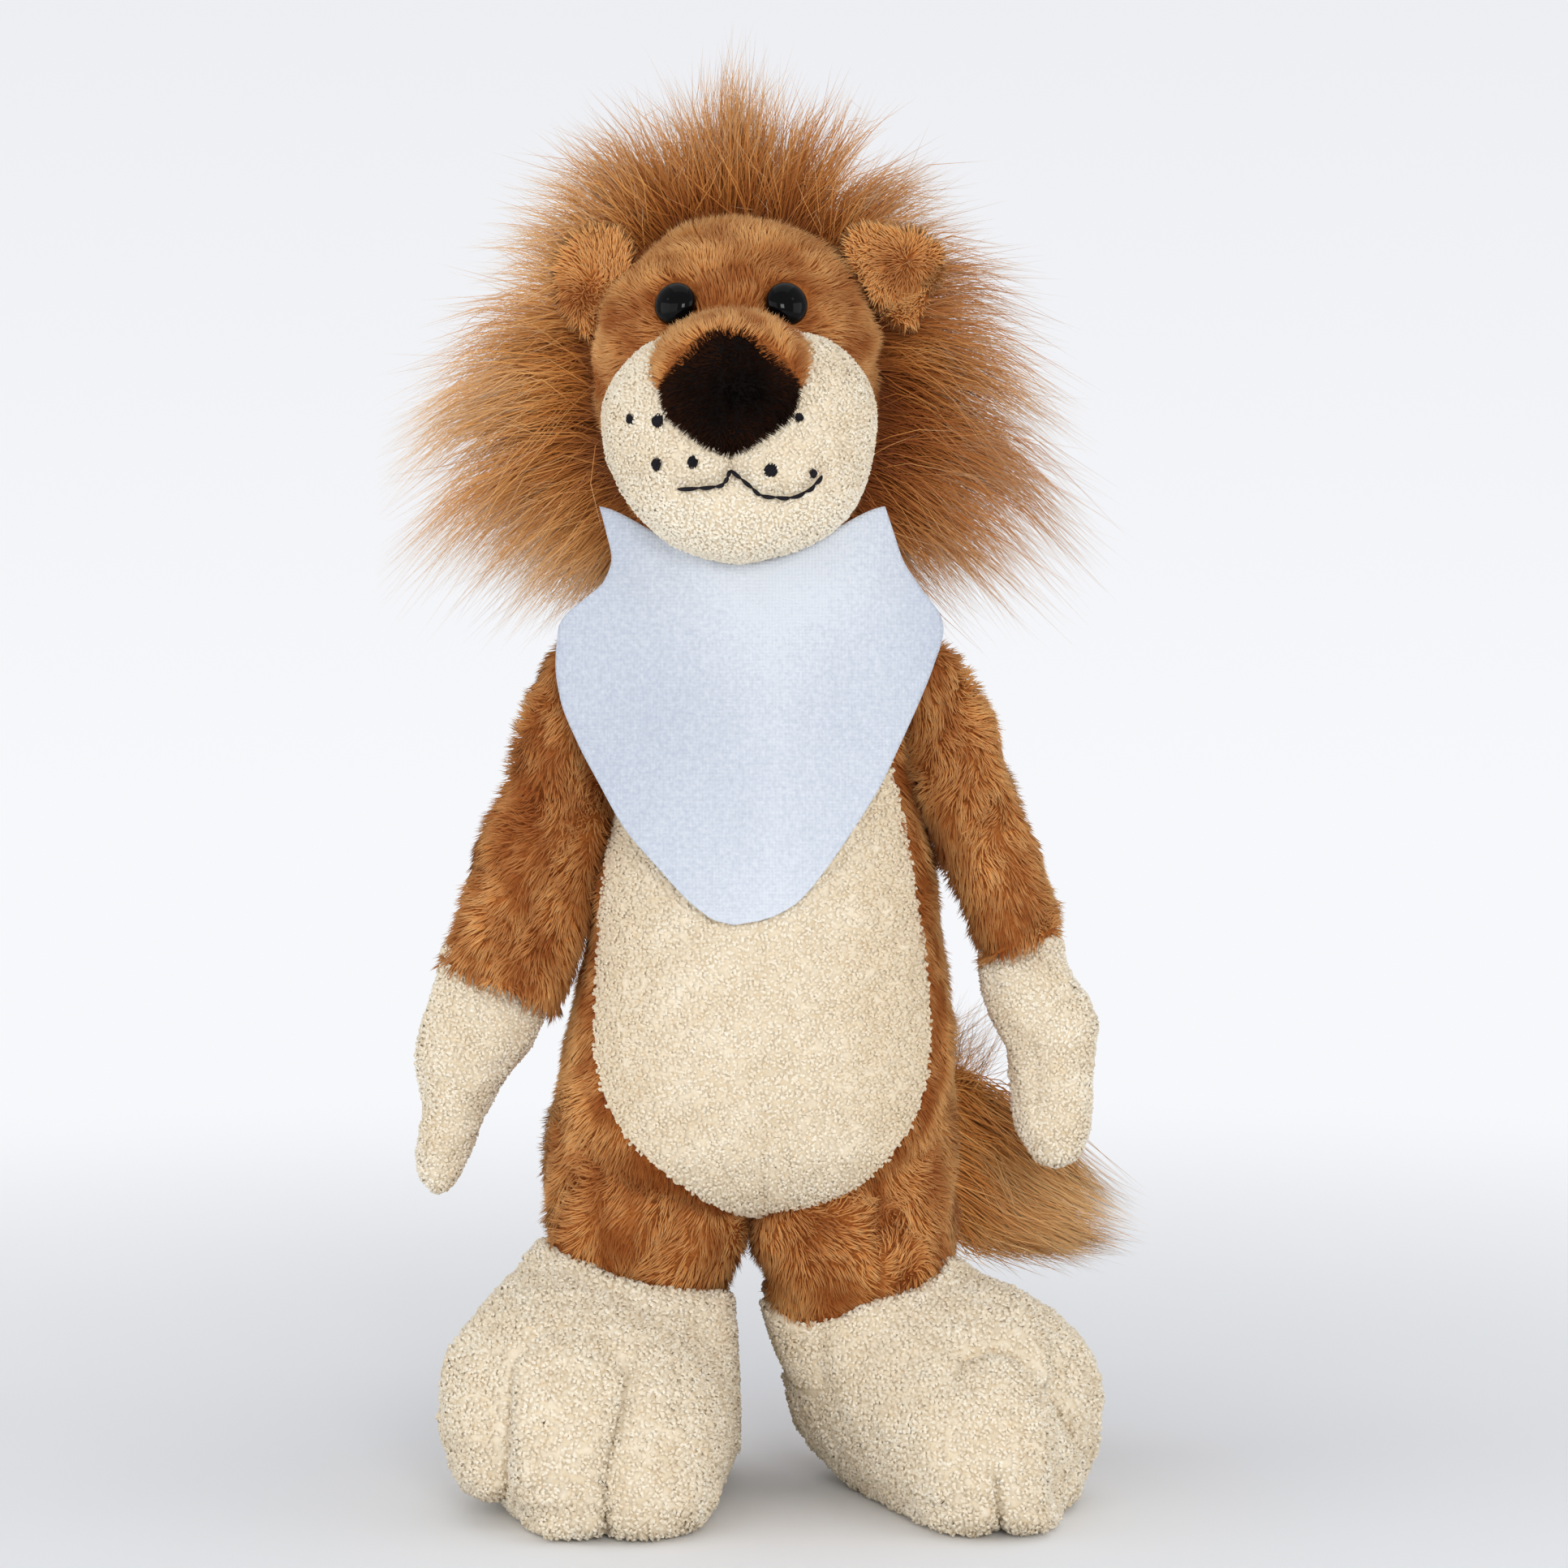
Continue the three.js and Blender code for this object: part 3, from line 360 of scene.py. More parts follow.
def rings(centre, across, lift, wide, over, under, power, columns):
    # a ring in each row: the superellipse of that power, with its own half size below
    angle = np.arange(columns) * 2 * math.pi / columns
    c, s = np.cos(angle), np.sin(angle)
    bend = 2 / np.broadcast_to(power, np.shape(wide))[:, None]
    x = np.sign(c) * np.abs(c) ** bend * wide[:, None]
    y = np.sign(s) * np.abs(s) ** bend * np.where(s > 0, over[:, None], under[:, None])
    return centre[:, None] + x[..., None] * across + y[..., None] * lift


def rows(count):
    # shares from 0 to 1, closer together near both ends: (1 less the cosine of a half turn) / 2
    return (1 - np.cos(np.linspace(0, math.pi, count))) / 2


def roundBag(part, columns=72, count=48):
    # an ellipsoid whose rings stand on the line from its chin to its crown
    z = np.cos(np.linspace(math.pi, 0, count + 2)[1:-1])
    ring = np.sqrt(1 - z * z)
    middle = np.array(part["middle"]) + z[:, None] * upward * part["halfHeight"]
    return rings(middle, right, back, ring * part["halfWidth"], ring * part["halfDepth"],
                 ring * part["halfDepth"], 2, columns)


def muzzleSizes(z):
    # half widths towards the toy's right and left, and how far the muzzle stands forward
    form = muzzleForm
    up = (z - form["middle"][2]) / form["halfHeight"]
    power = np.where(up > 0, 1.75, 2.1)
    deep = form["halfDepth"] * np.maximum(1 - np.abs(up) ** power, 0.0004) ** (1 / power)
    wide = (through(z, form["heights"], form[key]) for key in ("rightWide", "leftWide"))
    return *wide, deep


def muzzleGrid(columns=110, count=84):
    form = muzzleForm
    z = form["middle"][2] + form["halfHeight"] * np.cos(np.linspace(math.pi, 0, count))
    angle = np.arange(columns)[None] * 2 * math.pi / columns
    toRight, toLeft, deep = (size[:, None] for size in muzzleSizes(z))
    x = form["middle"][0] + np.cos(angle) * np.where(np.cos(angle) > 0, toLeft, toRight)
    y = form["middle"][1] + np.sin(angle) * deep
    return np.stack([x, y, z[:, None] + 0 * x], -1)


def muzzleFront(x, z):
    toRight, toLeft, deep = muzzleSizes(z)
    side = x - muzzleForm["middle"][0]
    share = side / np.where(side > 0, toLeft, toRight)
    return muzzleForm["middle"][1] - deep * np.sqrt(np.maximum(1 - share ** 2, 0))


def inMuzzle(points, extra=0.0):
    toRight, toLeft, deep = muzzleSizes(points[:, 2])
    side, ahead, rise = (points - np.array(muzzleForm["middle"])).T
    wide = np.where(side > 0, toLeft, toRight) + extra
    share = (side / np.maximum(wide, 0.1)) ** 2 + (ahead / (deep + extra)) ** 2
    return (share < 1) & (np.abs(rise) < muzzleForm["halfHeight"] + extra)


def inEllipsoid(points, part, extra=0.0):
    half = np.array([part["halfWidth"], part["halfDepth"], part["halfHeight"]]) + extra
    return (((points - np.array(part["middle"])) / half) ** 2).sum(-1) < 1


def gridNormals(grid):
    across = np.roll(grid, -1, 1) - np.roll(grid, 1, 1)
    along = np.gradient(grid, axis=0)
    normal = unit(np.cross(across, along))
    outward = (normal * (grid - grid.reshape(-1, 3).mean(0))).sum()
    return normal * np.sign(outward)


def pushed(grid, amount):
    return grid + gridNormals(grid) * amount[..., None]


def fitted(grid, low, high, inset=0.7):
    # moves a skin sideways so that its outline from the front follows the two edges, each a
    # table of heights and places on the plane of fromFront
    x, z = fromFront(grid)
    steps = np.arange(z.min(), z.max() + 2, 1.0)
    i = np.clip(np.round(z - steps[0]).astype(int), 0, len(steps) - 1)
    least, most = np.full(len(steps), np.inf), np.full(len(steps), -np.inf)
    for shift in (-1, 0, 1):
        k = np.clip(i + shift, 0, len(steps) - 1).ravel()
        np.minimum.at(least, k, x.ravel())
        np.maximum.at(most, k, x.ravel())
    full = np.isfinite(least)
    least, most = (np.interp(steps, steps[full], edge[full]) for edge in (least, most))
    soft = np.array([1, 2, 3, 2, 1]) / 9
    least, most = (np.convolve(np.pad(edge, 2, mode='edge'), soft, 'valid') for edge in (least, most))
    a, b = np.interp(z, steps, least), np.interp(z, steps, most)
    newA, newB = through(z, *low) + inset, through(z, *high) - inset
    x = newA + (x - a) * (newB - newA) / np.maximum(b - a, 0.5)
    out = grid.copy()
    out[..., 0] = viewer["x"] + (x - viewer["x"]) * (viewer["far"] + grid[..., 1]) / viewer["far"]
    return out


def finely(line, count=60):
    share, fine = np.linspace(0, 1, len(line)), np.linspace(0, 1, count)
    return np.stack([np.interp(fine, share, column) for column in np.array(line, float).T], -1)


def creased(grid, lines, wide):
    # grooves along lines on the front, each a table of places on the plane of fromFront with a
    # depth, of which seven tenths fall off by e to the minus gap over the width and the rest by
    # a broad bell
    x, z = fromFront(grid)
    places = np.concatenate([finely(line) for line in lines])
    gap = np.hypot(x[..., None] - places[:, 0], z[..., None] - places[:, 1])
    depth = (places[:, 2] * (0.7 * np.exp(-gap / wide) + 0.3 * bump(gap, 4.5))).max(-1)
    return pushed(grid, -depth * ease(0.0, 0.4, -gridNormals(grid)[..., 1]))


bodyForm = {
    "bottom": 65, "top": 225, "halfWidth": 45.5, "halfDepth": 40, "lean": 3.8, "power": 2.2,
    "shares": [0, 0.012, 0.03, 0.07, 0.12, 0.22, 0.4, 0.49, 0.575, 0.69, 0.78, 0.83, 0.87, 0.92, 1],
    "wide": [0.05, 0.5, 0.75, 0.92, 1, 0.985, 0.89, 0.862, 0.79, 0.76, 0.71, 0.62, 0.47, 0.34, 0.33],
    "deep": [0.05, 0.45, 0.66, 0.85, 0.95, 1, 0.97, 0.94, 0.9, 0.83, 0.75, 0.65, 0.5, 0.38, 0.375],
    "bow": [0, 0, 0, 0, 0.13, 0.45, 0.85, 0.83, 1, 0.85, 0.6, 0.35, 0.1, 0, 0],
}


def bodySizes(share):
    form = bodyForm
    wide = through(share, form["shares"], form["wide"]) * form["halfWidth"]
    deep = through(share, form["shares"], form["deep"]) * form["halfDepth"]
    return through(share, form["shares"], form["bow"]) * form["lean"], wide, deep


def bodyGrid(columns=96, count=80):
    share = rows(count)
    lean, wide, deep = bodySizes(share)
    height = bodyForm["bottom"] + (bodyForm["top"] - bodyForm["bottom"]) * share
    centre = lean[:, None] * right + height[:, None] * upward
    return rings(centre, right, back, wide, deep, deep, bodyForm["power"], columns)


def bodyFront(x, z):
    # how far forward the body's skin is at a place of its front: minus the half depth times
    # the root of what the width leaves of one
    share = (z - bodyForm["bottom"]) / (bodyForm["top"] - bodyForm["bottom"])
    lean, wide, deep = bodySizes(share)
    left = 1 - np.abs((x - lean) / wide) ** bodyForm["power"]
    return -deep * np.maximum(left, 0) ** (1 / bodyForm["power"])


def inBody(points, extra=0.0):
    share = (points[:, 2] - bodyForm["bottom"]) / (bodyForm["top"] - bodyForm["bottom"])
    lean, wide, deep = bodySizes(np.clip(share, 0, 1))
    power = bodyForm["power"]
    value = np.abs((points[:, 0] - lean) / (wide + extra)) ** power
    value = value + np.abs(points[:, 1] / (deep + extra)) ** power
    return (value < 1) & (share > 0) & (share < 1)


def fromFront(points):
    # where the camera sees a point on the upright plane through the toy's middle: its place
    # from the camera's own, scaled by the plane's distance over the point's
    share = viewer["far"] / (viewer["far"] + points[..., 1])
    x = viewer["x"] + (points[..., 0] - viewer["x"]) * share
    return x, viewer["z"] + (points[..., 2] - viewer["z"]) * share


bellyForm = {
    "lift": 1.0, "bottom": 63.3, "top": 203, "rows": 96, "columns": 70, "seam": 3.4, "cloth": 1.4,
    "low": ([63.3, 64, 65.3, 68, 72.1, 81.6, 92.2, 104.8, 119.9, 139, 156.2, 165.7, 203],
            [3.2, -2, -6.1, -11.5, -18, -28.5, -34.2, -36.1, -35.5, -34.2, -31.3, -28.5, -16]),
    "high": ([63.3, 64.6, 66, 67.6, 72.6, 84.7, 96.8, 106, 114.6, 123.8, 142.9, 165.7, 203],
             [3.4, 3.5, 13.5, 18.5, 27.4, 37.1, 40.8, 41.4, 41.2, 40.2, 37.4, 33, 19]),
}


def inBelly(points, extra=0.0):
    x, z = fromFront(points)
    inside = (x > through(z, *bellyForm["low"]) - extra) & (x < through(z, *bellyForm["high"]) + extra)
    return (points[:, 1] < 0) & (z > bellyForm["bottom"] - extra) & (z < bellyForm["top"]) & inside


headForm = {"middle": (-3.5, 0, 257), "halfWidth": 32, "halfDepth": 37.2, "halfHeight": 38.4}
headEdges = (
    ([218.6, 222, 235, 249.2, 259.6, 265.8, 276, 284.5, 289.5, 293, 295, 295.7],
     [-4, -20, -29.5, -33, -34.9, -35.8, -33.4, -28.6, -23, -16.5, -9.5, -3.7]),
    ([218.6, 222, 235, 245, 258.8, 262.5, 269, 272, 279, 289.5, 293.4, 295, 295.7],
     [-3, 15, 25, 27.0, 27.6, 28.0, 28.6, 28.2, 25.3, 17.8, 10.5, 4, -3.3]))
muzzleForm = {
    "middle": (-3, -35, 242.6), "halfDepth": 27, "halfHeight": 26,
    "heights": [216.6, 217.5, 219.5, 222, 226, 232, 236, 241, 249.5, 255, 259, 262.5, 266, 268, 268.6],
    "rightWide": [0.5, 5.5, 11.5, 16, 20.5, 25, 27, 28.8, 29.6, 28.1, 25.6, 22.6, 17, 9.5, 0.5],
    "leftWide": [0.5, 5.8, 13, 18.6, 24, 27.8, 29.2, 30.2, 31.1, 29.9, 27.6, 24.6, 19.5, 11, 0.5],
}
bridgeForm = {"middle": (-3.7, -41.5, 256.0), "halfWidth": 18.6, "halfDepth": 23.5, "halfHeight": 15.6}
noseForm = {
    "middle": (-4.1, -57, 253.4), "halfWidth": 14.6, "halfDepth": 9.5, "halfHeight": 13.0, "seam": 0.7,
    "rise": [-13.0, -12.2, -10.5, -7.6, -3.8, 0.6, 3, 6, 9, 11.4, 12.6, 13.0],
    "wide": [0.3, 2.6, 5.6, 9.6, 13.6, 14.6, 13.4, 10.9, 8.2, 5.6, 3.2, 0.3],
}
maneFront = 5.0

hipForm = {"y": -3, "z": 80, "radius": 23.5}
legForm = {
    "halfWidth": 22.8, "power": 2.4, "top": 103, "length": 66, "heights": [37, 38, 59, 80, 104],
    "deep": [21.8, 21.8, 23.5, 23.3, 23.3], "wide": [21.8, 21.8, 23.3, 22.8, 21.5],
}
legPlaces = {
    "right": {
        "x": -24, "foot": (-36.6, -19.5), "turn": 8, "outward": -1, "tilt": 0.2, "top": 55.5,
        "seam": -9, "seamWidth": 2.5, "inward": 4.5,
    },
    "left": {
        "x": 23.4, "foot": (41.2, -17), "turn": 38, "outward": 1, "tilt": 0.3, "top": 52.5,
        "seam": 5.5, "seamWidth": 0.9, "inward": 3.0,
    },
}
footForm = {
    "length": 92, "halfWidth": 33, "widest": 14, "sink": 3, "power": 2.6, "deepCrease": 2.4,
    "shares": [0, 0.006, 0.03, 0.12, 0.3, 0.54, 0.76, 0.9, 0.97, 0.994, 1],
    "wide": [0.02, 0.24, 0.48, 0.73, 0.9, 0.98, 0.98, 0.84, 0.57, 0.3, 0.02],
    "over": [0.02, 0.3, 0.54, 0.86, 1, 0.92, 0.8, 0.64, 0.42, 0.24, 0.02],
    "under": [0.02, 0.3, 0.64, 0.9, 1, 1, 1, 0.86, 0.64, 0.3, 0.02],
}
sleeveEdges = {
    # the sleeves' outlines from the front: heights and places of both edges
    "right": (
        ([110.5, 112.5, 117.1, 123, 130, 139.6, 149.3, 162.4, 177.3, 193.4],
         [-46, -54, -63.3, -73.4, -71.4, -68.4, -64.9, -59.2, -54.4, -46.2]),
        ([110.5, 112.4, 118.6, 125.6, 131.8, 143.2, 151.1, 158, 170, 185, 195],
         [-45, -43.5, -40.9, -39.2, -37.4, -34.4, -32.2, -31.5, -28, -24, -22])),
    "left": (
        ([121.5, 123.2, 129.2, 136.2, 143.2, 148.2, 156.2, 163.1, 170.1, 176.1, 195],
         [53.5, 53.8, 50.8, 48.3, 45.9, 43.2, 39.8, 37.8, 36, 34.4, 31]),
        ([121.5, 123.2, 125.2, 126.2, 129.7, 136.2, 144.2, 152.2, 160.1, 169.1, 177.1, 185, 194, 200],
         [55, 57, 63, 68, 73.2, 72.2, 69.7, 67.3, 64.3, 61.3, 58.3, 54.3, 50.8, 45.9])),
}
armPlaces = {
    "right": {
        "shoulder": (-36, -9, 190), "wrist": (-58.5, -11, 114), "tip": (-71, -12, 72.5),
        "sleeve": 13, "sleeveDepth": 10, "handDepth": 9.5,
    },
    "left": {
        "shoulder": (39, -9, 191), "wrist": (61.5, -11, 125.5), "tip": (71, -13, 79),
        "sleeve": 10.5, "sleeveDepth": 11.5, "handDepth": 9,
    },
}
handEdges = {
    "right": {
        "heights": [70.6, 71.2, 72.4, 75, 79.6, 84.5, 89.8, 95.3, 100, 105.3, 113.7, 122, 128],
        "low": [-73, -74.6, -75.8, -76.9, -77.6, -76.6, -76, -77, -77.6, -77.2, -74.6, -72.4, -71.4],
        "high": [-72, -70.4, -69, -67.3, -65.3, -63.3, -61.1, -58.1, -54.6, -50.6, -47.6, -47, -47.5],
        "creases": [[(-74.5, 93.4, 1.0), (-69, 95.5, 0.8), (-64, 97.5, 0.1)]], "cuff": 112,
    },
    "left": {
        "heights": [76.8, 77.3, 78.6, 80.3, 85.3, 91.3, 96.2, 101.2, 105, 108.2, 113.1, 119, 127, 133],
        "low": [70, 68.2, 66, 64.7, 61.5, 60.9, 60.4, 60, 59.2, 57.5, 54.9, 53.5, 53, 54],
        "high": [71.5, 73.6, 75.8, 77.2, 78.8, 79.3, 79.2, 79.5, 80.2, 80.6, 79.5, 75.6, 72.5, 71.5],
        "creases": [[(66.4, 104, 0.4), (66.7, 100, 1.5), (67.2, 90, 1.5), (67.8, 83, 0.3)]], "cuff": 124,
    },
}


# Pile and loops

pileKeys = ("length", "width", "lift", "swirl", "clump", "gather", "root")
pileForms = {name: dict(zip(pileKeys, values)) for name, values in {
    "short": (4.0, 0.25, 0.55, 0.45, 2.6, 0.28, 0.5),
    "bridge": (3.4, 0.25, 0.55, 0.45, 2.6, 0.28, 0.5),
    "arm": (4.6, 0.27, 0.48, 0.85, 3.4, 0.36, 0.5),
    "legs": (4.4, 0.27, 0.5, 1.0, 3.0, 0.35, 0.5),
    "ear": (3.2, 0.24, 0.5, 0.3, 2.8, 0.16, 0.05),
    "nose": (2.2, 0.24, 1.1, 0.4, 1.6, 0.3, 0.5),
}.items()}


def combedPile(points, normals, comb, form, seed, shift=0):
    # a fibre leans from the normal towards the comb and the swirl, and its tip is drawn to
    # the middle of its clump; returns paths, half widths and tones
    rng = np.random.default_rng(seed)
    count = len(points)
    comb = comb + drift(points, 16, seed + 1) * form["swirl"] + rng.normal(0, 0.22, (count, 3))
    comb = comb - normals * (comb * normals).sum(-1, keepdims=True)
    direction = unit(normals * form["lift"] + comb)
    length = form["length"] * rng.uniform(0.7, 1.15, (count, 1))
    cells = np.floor(points / form["clump"] + drift(points, 5, seed + 2) * 0.5).astype(int)
    keys = cells @ np.array([73856093, 19349663, 83492791])
    clump, order = np.unique(keys, return_inverse=True)
    size = np.bincount(order).astype(float)
    middle = np.stack([
        np.bincount(order, (points + direction * length)[:, n]) / size for n in range(3)], -1)
    tip = points + direction * length
    tip = tip + (middle[order] - tip) * form["gather"]
    paths = np.stack([points - normals * form["root"], tip], 1)
    # painted sheen: fibres that point upward are paler, those that point downward darker
    lean = (direction * upward).sum(-1)
    clumpTone = rng.random(len(clump))[order]
    tone = 0.52 + shift + 0.16 * lean + 0.3 * drift(points, 11, seed + 3, 1)[:, 0]
    tone = tone + 0.36 * (clumpTone - 0.5) + 0.18 * (rng.random(count) - 0.5)
    return paths, np.full((count, 1), form["width"]), np.clip(tone, 0, 1), normals


def loops(points, normals, seed, size=1.0):
    # a loop rises from the cloth, swells and lies over to a random side
    rng = np.random.default_rng(seed)
    count = len(points)
    aside = unit(np.cross(normals, rng.normal(size=(count, 3))))
    height = size * rng.uniform(0.5, 0.85, (count, 1))
    reach = size * rng.uniform(0.7, 1.3, (count, 1))
    paths = np.stack([
        points - normals * 0.3,
        points + normals * height * 0.85 + aside * reach * 0.4,
        points + normals * height * 0.8 + aside * reach,
    ], 1)
    widths = np.stack([np.full(count, 0.4), np.full(count, 0.46)], 1) * size
    tone = 0.5 + 0.2 * drift(points, 9, seed + 1, 1)[:, 0] + 0.5 * (rng.random(count) - 0.5)
    return paths, widths, np.clip(tone, 0, 1), normals


def furPiece(name, fibres, body, material):
    paths, widths, tone, skin = (np.concatenate(parts) for parts in zip(*fibres))
    firm = 1.15 if material == fleeceLoops else 0.65
    finish(tubes(name, paths, widths, tone, skin, firm), body, material)


def nubs(grid, depth, seed):
    # the cloth's own nap: the skin moved by three random fields of different sizes
    height = drift(grid.reshape(-1, 3), 7, seed, 1) + 0.6 * drift(grid.reshape(-1, 3), 3, seed + 1, 1)
    return pushed(grid, height.reshape(grid.shape[:2]) * depth)


# Camera

camera = bpy.data.objects.new("camera", bpy.data.cameras.new("camera"))
scene.collection.objects.link(camera)
scene.camera = camera
camera.data.lens = viewer["lens"]
camera.data.sensor_width = viewer["sensor"]
camera.location = (np.array([viewer["x"], -viewer["far"], viewer["z"]]) - drawingZero) * 0.001
camera.rotation_euler = (math.radians(90 - viewer["tilt"]), 0, 0)

# Body
densities = {"pile": 1.75, "arm": 2.3, "loops": 1.2}

skin = bodyGrid()
finish(
    bag("bodyCloth", nubs(skin, 0.5, 11)), "torso", plushCloth,
    ["body_cover", "body_stuffing"])
rng = np.random.default_rng(21)
points, normals = scatter(skin, densities["pile"], rng)


def inLegs(points, extra):
    found = np.zeros(len(points), bool)
    for place in legPlaces.values():
        across = (points[:, 0] - place["x"]) / (legForm["halfWidth"] + extra)
        depth = (points[:, 1] - hipForm["y"]) / (hipForm["radius"] + extra)
        found |= (across ** 2 + depth ** 2 < 1) & (points[:, 2] < hipForm["z"])
    return found


under = (np.abs(points[:, 0]) < 22) & (points[:, 1] < 0) & (np.abs(points[:, 2] - 184) < 20)
keep = ~inBelly(points, -0.8) & ~inLegs(points, -3) & ~(points[:, 2] > 212) & ~under
points, normals = points[keep], normals[keep]
comb = -upward + right * np.sign(points[:, :1]) * 0.25
# painted shade darkens the pile beside the belly panel's seam, and painted light makes the body's sides
# paler
beside = inBelly(points, 3.5) & (points[:, 1] < 0)
sideLightSeamShade = np.where(beside, -0.2, 0.5 * ease(31, 40, np.abs(points[:, 0] - 2)))
fibres = combedPile(points, normals, comb, pileForms["short"], 31, sideLightSeamShade)
strip = (ease(28, 38, np.abs(points[:, 0] - 2)) * (points[:, 1] < 5))[:, None]
furPiece("bodyPile", [(*fibres[:3], unit(normals - back * 0.7 * strip))], "torso", plushPile)
print("body", len(points))

# Belly panel
high = bellyForm["bottom"] + (bellyForm["top"] - bellyForm["bottom"]) * rows(bellyForm["rows"])[:, None]
across = np.linspace(-1, 1, bellyForm["columns"])[None, :]
low, far = (through(high, *bellyForm[key]) for key in ("low", "high"))
planeX, planeZ = (low + far) / 2 + (far - low) / 2 * across, high + 0 * across
y = np.full(planeX.shape, -38.0)
for _ in range(6):
    # from the plane of fromFront back on to the body, whose depth is found by repetition
    scale = 1 + y / viewer["far"]
    x = viewer["x"] + (planeX - viewer["x"]) * scale
    z = viewer["z"] + (planeZ - viewer["z"]) * scale
    y = (y + bodyFront(x, np.maximum(z, bodyForm["bottom"] + 0.6))) / 2
y = y - bellyForm["lift"] * (1 - np.abs(across) ** 6)
panel = np.stack([x, y, z], -1)
# a seam runs up from the crotch and fades out
fading = (1 - ease(118, 140, z)) * (1.5 - ease(78, 100, z))
panel[..., 1] += 0.7 * bump(x - bellyForm["seam"], 1.2) * fading
panel[..., 1] -= drift(panel.reshape(-1, 3), 6, 41, 1).reshape(x.shape) * 0.35
finish(
    sheetMesh("bellyCloth", panel, bellyForm["cloth"]), "torso", fleeceCloth, ["belly_panel"])
rng = np.random.default_rng(22)
points, normals = scatter(panel, densities["loops"] * 1.1, rng, wraps=False)
normals = normals * np.sign(-normals[:, 1:2])
keep = points[:, 2] < 190
paths, widths, tone, outward = loops(points[keep] + normals[keep] * 0.6, normals[keep], 32, 1.1)
# painted shade: the loops darken towards the panel's sides
tone = np.clip(tone - 0.6 * ease(14, 34, np.abs(points[keep][:, 0] - 1)), 0, 1)
furPiece("bellyLoops", [(paths, widths, tone, outward)], "torso", fleeceLoops)
print("belly", len(points))

# Head
eyeForm = {
    "x": {"right_eye": -15.9, "left_eye": 7.6}, "height": 274.0, "bare": 275,
    "radius": 5, "dome": 4.6, "skirt": 1.4,
}


def besideEyes(points, radius):
    gaps = [np.hypot(points[:, 0] - x, points[:, 2] - eyeForm["bare"]) for x in eyeForm["x"].values()]
    return np.min(gaps, 0) > radius


headSkin = fitted(roundBag(headForm), *headEdges, inset=0)
finish(
    bag("headCloth", headSkin), "head", plushCloth,
    ["head_cover", "head_stuffing"])
rng = np.random.default_rng(23)
points, normals = scatter(headSkin, densities["pile"] * 1.5, rng)
keep = ~inMuzzle(points, -0.3) & ~inEllipsoid(points, bridgeForm, -1)
keep &= points[:, 1] < maneFront + 6
keep &= besideEyes(points, 5.2)
points, normals = points[keep], normals[keep]
source = np.array([-4.0, -34.0, 266.0])
comb = unit((points - source) * np.array([1, 0.6, 1])) + back * 0.25
# painted shade: the pile between and round the eyes is darker
browShade = bump(np.hypot((points[:, 0] + 4) / 15, (points[:, 2] - 273) / 10), 1)
headFibres = [combedPile(points, normals, comb, pileForms["short"], 33, -0.06 - 0.6 * browShade)]
bridgeSkin = roundBag(bridgeForm, 48, 32)
finish(bag("bridgeCloth", bridgeSkin), "head", plushCloth, ["nose_bridge"])
points, normals = scatter(bridgeSkin, densities["pile"] * 1.6, rng)
keep = ~inMuzzle(points, 0) & ~inEllipsoid(points, headForm, 0)
keep &= ~inEllipsoid(points, noseForm, 0) & besideEyes(points, 4.6)
points, normals = points[keep], normals[keep]
comb = unit((points - np.array(noseForm["middle"])) * np.array([1, 0, 1])) + back * 0.6
headFibres.append(combedPile(points, normals, comb, pileForms["bridge"], 34))
furPiece("headPile", headFibres, "head", plushPile)
print("head")

# Muzzle, with a groove under the nose and a fold along the mouth
mouthForm = {"zero": 241, "halfWidth": 29.5, "halfHeight": 25}
mouthShares = {
    "right": [[-0.035, -0.19], [-0.055, -0.255], [-0.1, -0.315], [-0.223, -0.335], [-0.423, -0.345]],
    "left": [[-0.03, -0.185], [0.1, -0.31], [0.21, -0.405], [0.385, -0.42], [0.544, -0.35],
             [0.643, -0.227]],
}


def onMuzzle(across, up, stand=0.0):
    # a place on the muzzle's front by its shares of the half width and the half height
    x = muzzleForm["middle"][0] + np.asarray(across, float) * mouthForm["halfWidth"]
    z = mouthForm["zero"] + np.asarray(up, float) * mouthForm["halfHeight"]
    tilt = [muzzleFront(x + dx, z + dz) - muzzleFront(x - dx, z - dz) for dx, dz in ((0.2, 0), (0, 0.2))]
    outward = unit(np.stack([tilt[0] / 0.4, -np.ones(np.shape(x)), tilt[1] / 0.4], -1))
    return np.stack([x, muzzleFront(x, z), z], -1) + outward * stand, outward


def mouthLine(side, count=40):
    corners = np.array(mouthShares[side])
    share, fine = np.linspace(0, 1, len(corners)), np.linspace(0, 1, count)
    return [through(fine, share, column) for column in corners.T]


def muzzleDetail(points):
    depth = np.zeros(points.shape[:-1])
    for side in mouthShares:
        line = onMuzzle(*mouthLine(side, 24))[0]
        gaps = np.linalg.norm(points[..., None, :] - line, axis=-1).min(-1)
        depth = np.maximum(depth, bump(gaps, 2.4) * 1.3)
    up = points[..., 2]
    groove = bump(points[..., 0] + 4.2, 1.5) * ease(232, 234, up) * (1 - ease(240, 243, up))
    front = 1 - ease(-45, -35, points[..., 1])
    return -(depth + groove * 0.9) * front


muzzleSkin = muzzleGrid()
muzzleSkin = pushed(muzzleSkin, muzzleDetail(muzzleSkin))
muzzleSkin = nubs(muzzleSkin, 0.22, 12)
finish(bag("muzzleCloth", muzzleSkin), "head", fleeceCloth,
       ["muzzle_cover", "muzzle_stuffing"])
rng = np.random.default_rng(24)
points, normals = scatter(muzzleSkin, densities["loops"] * 1.45, rng)
keep = ~inEllipsoid(points, headForm, 0) & ~inEllipsoid(points, noseForm, 0)
keep &= ~inEllipsoid(points, bridgeForm, 0.5)
paths, widths, tone, outward = loops(points[keep], normals[keep], 35, 0.95)
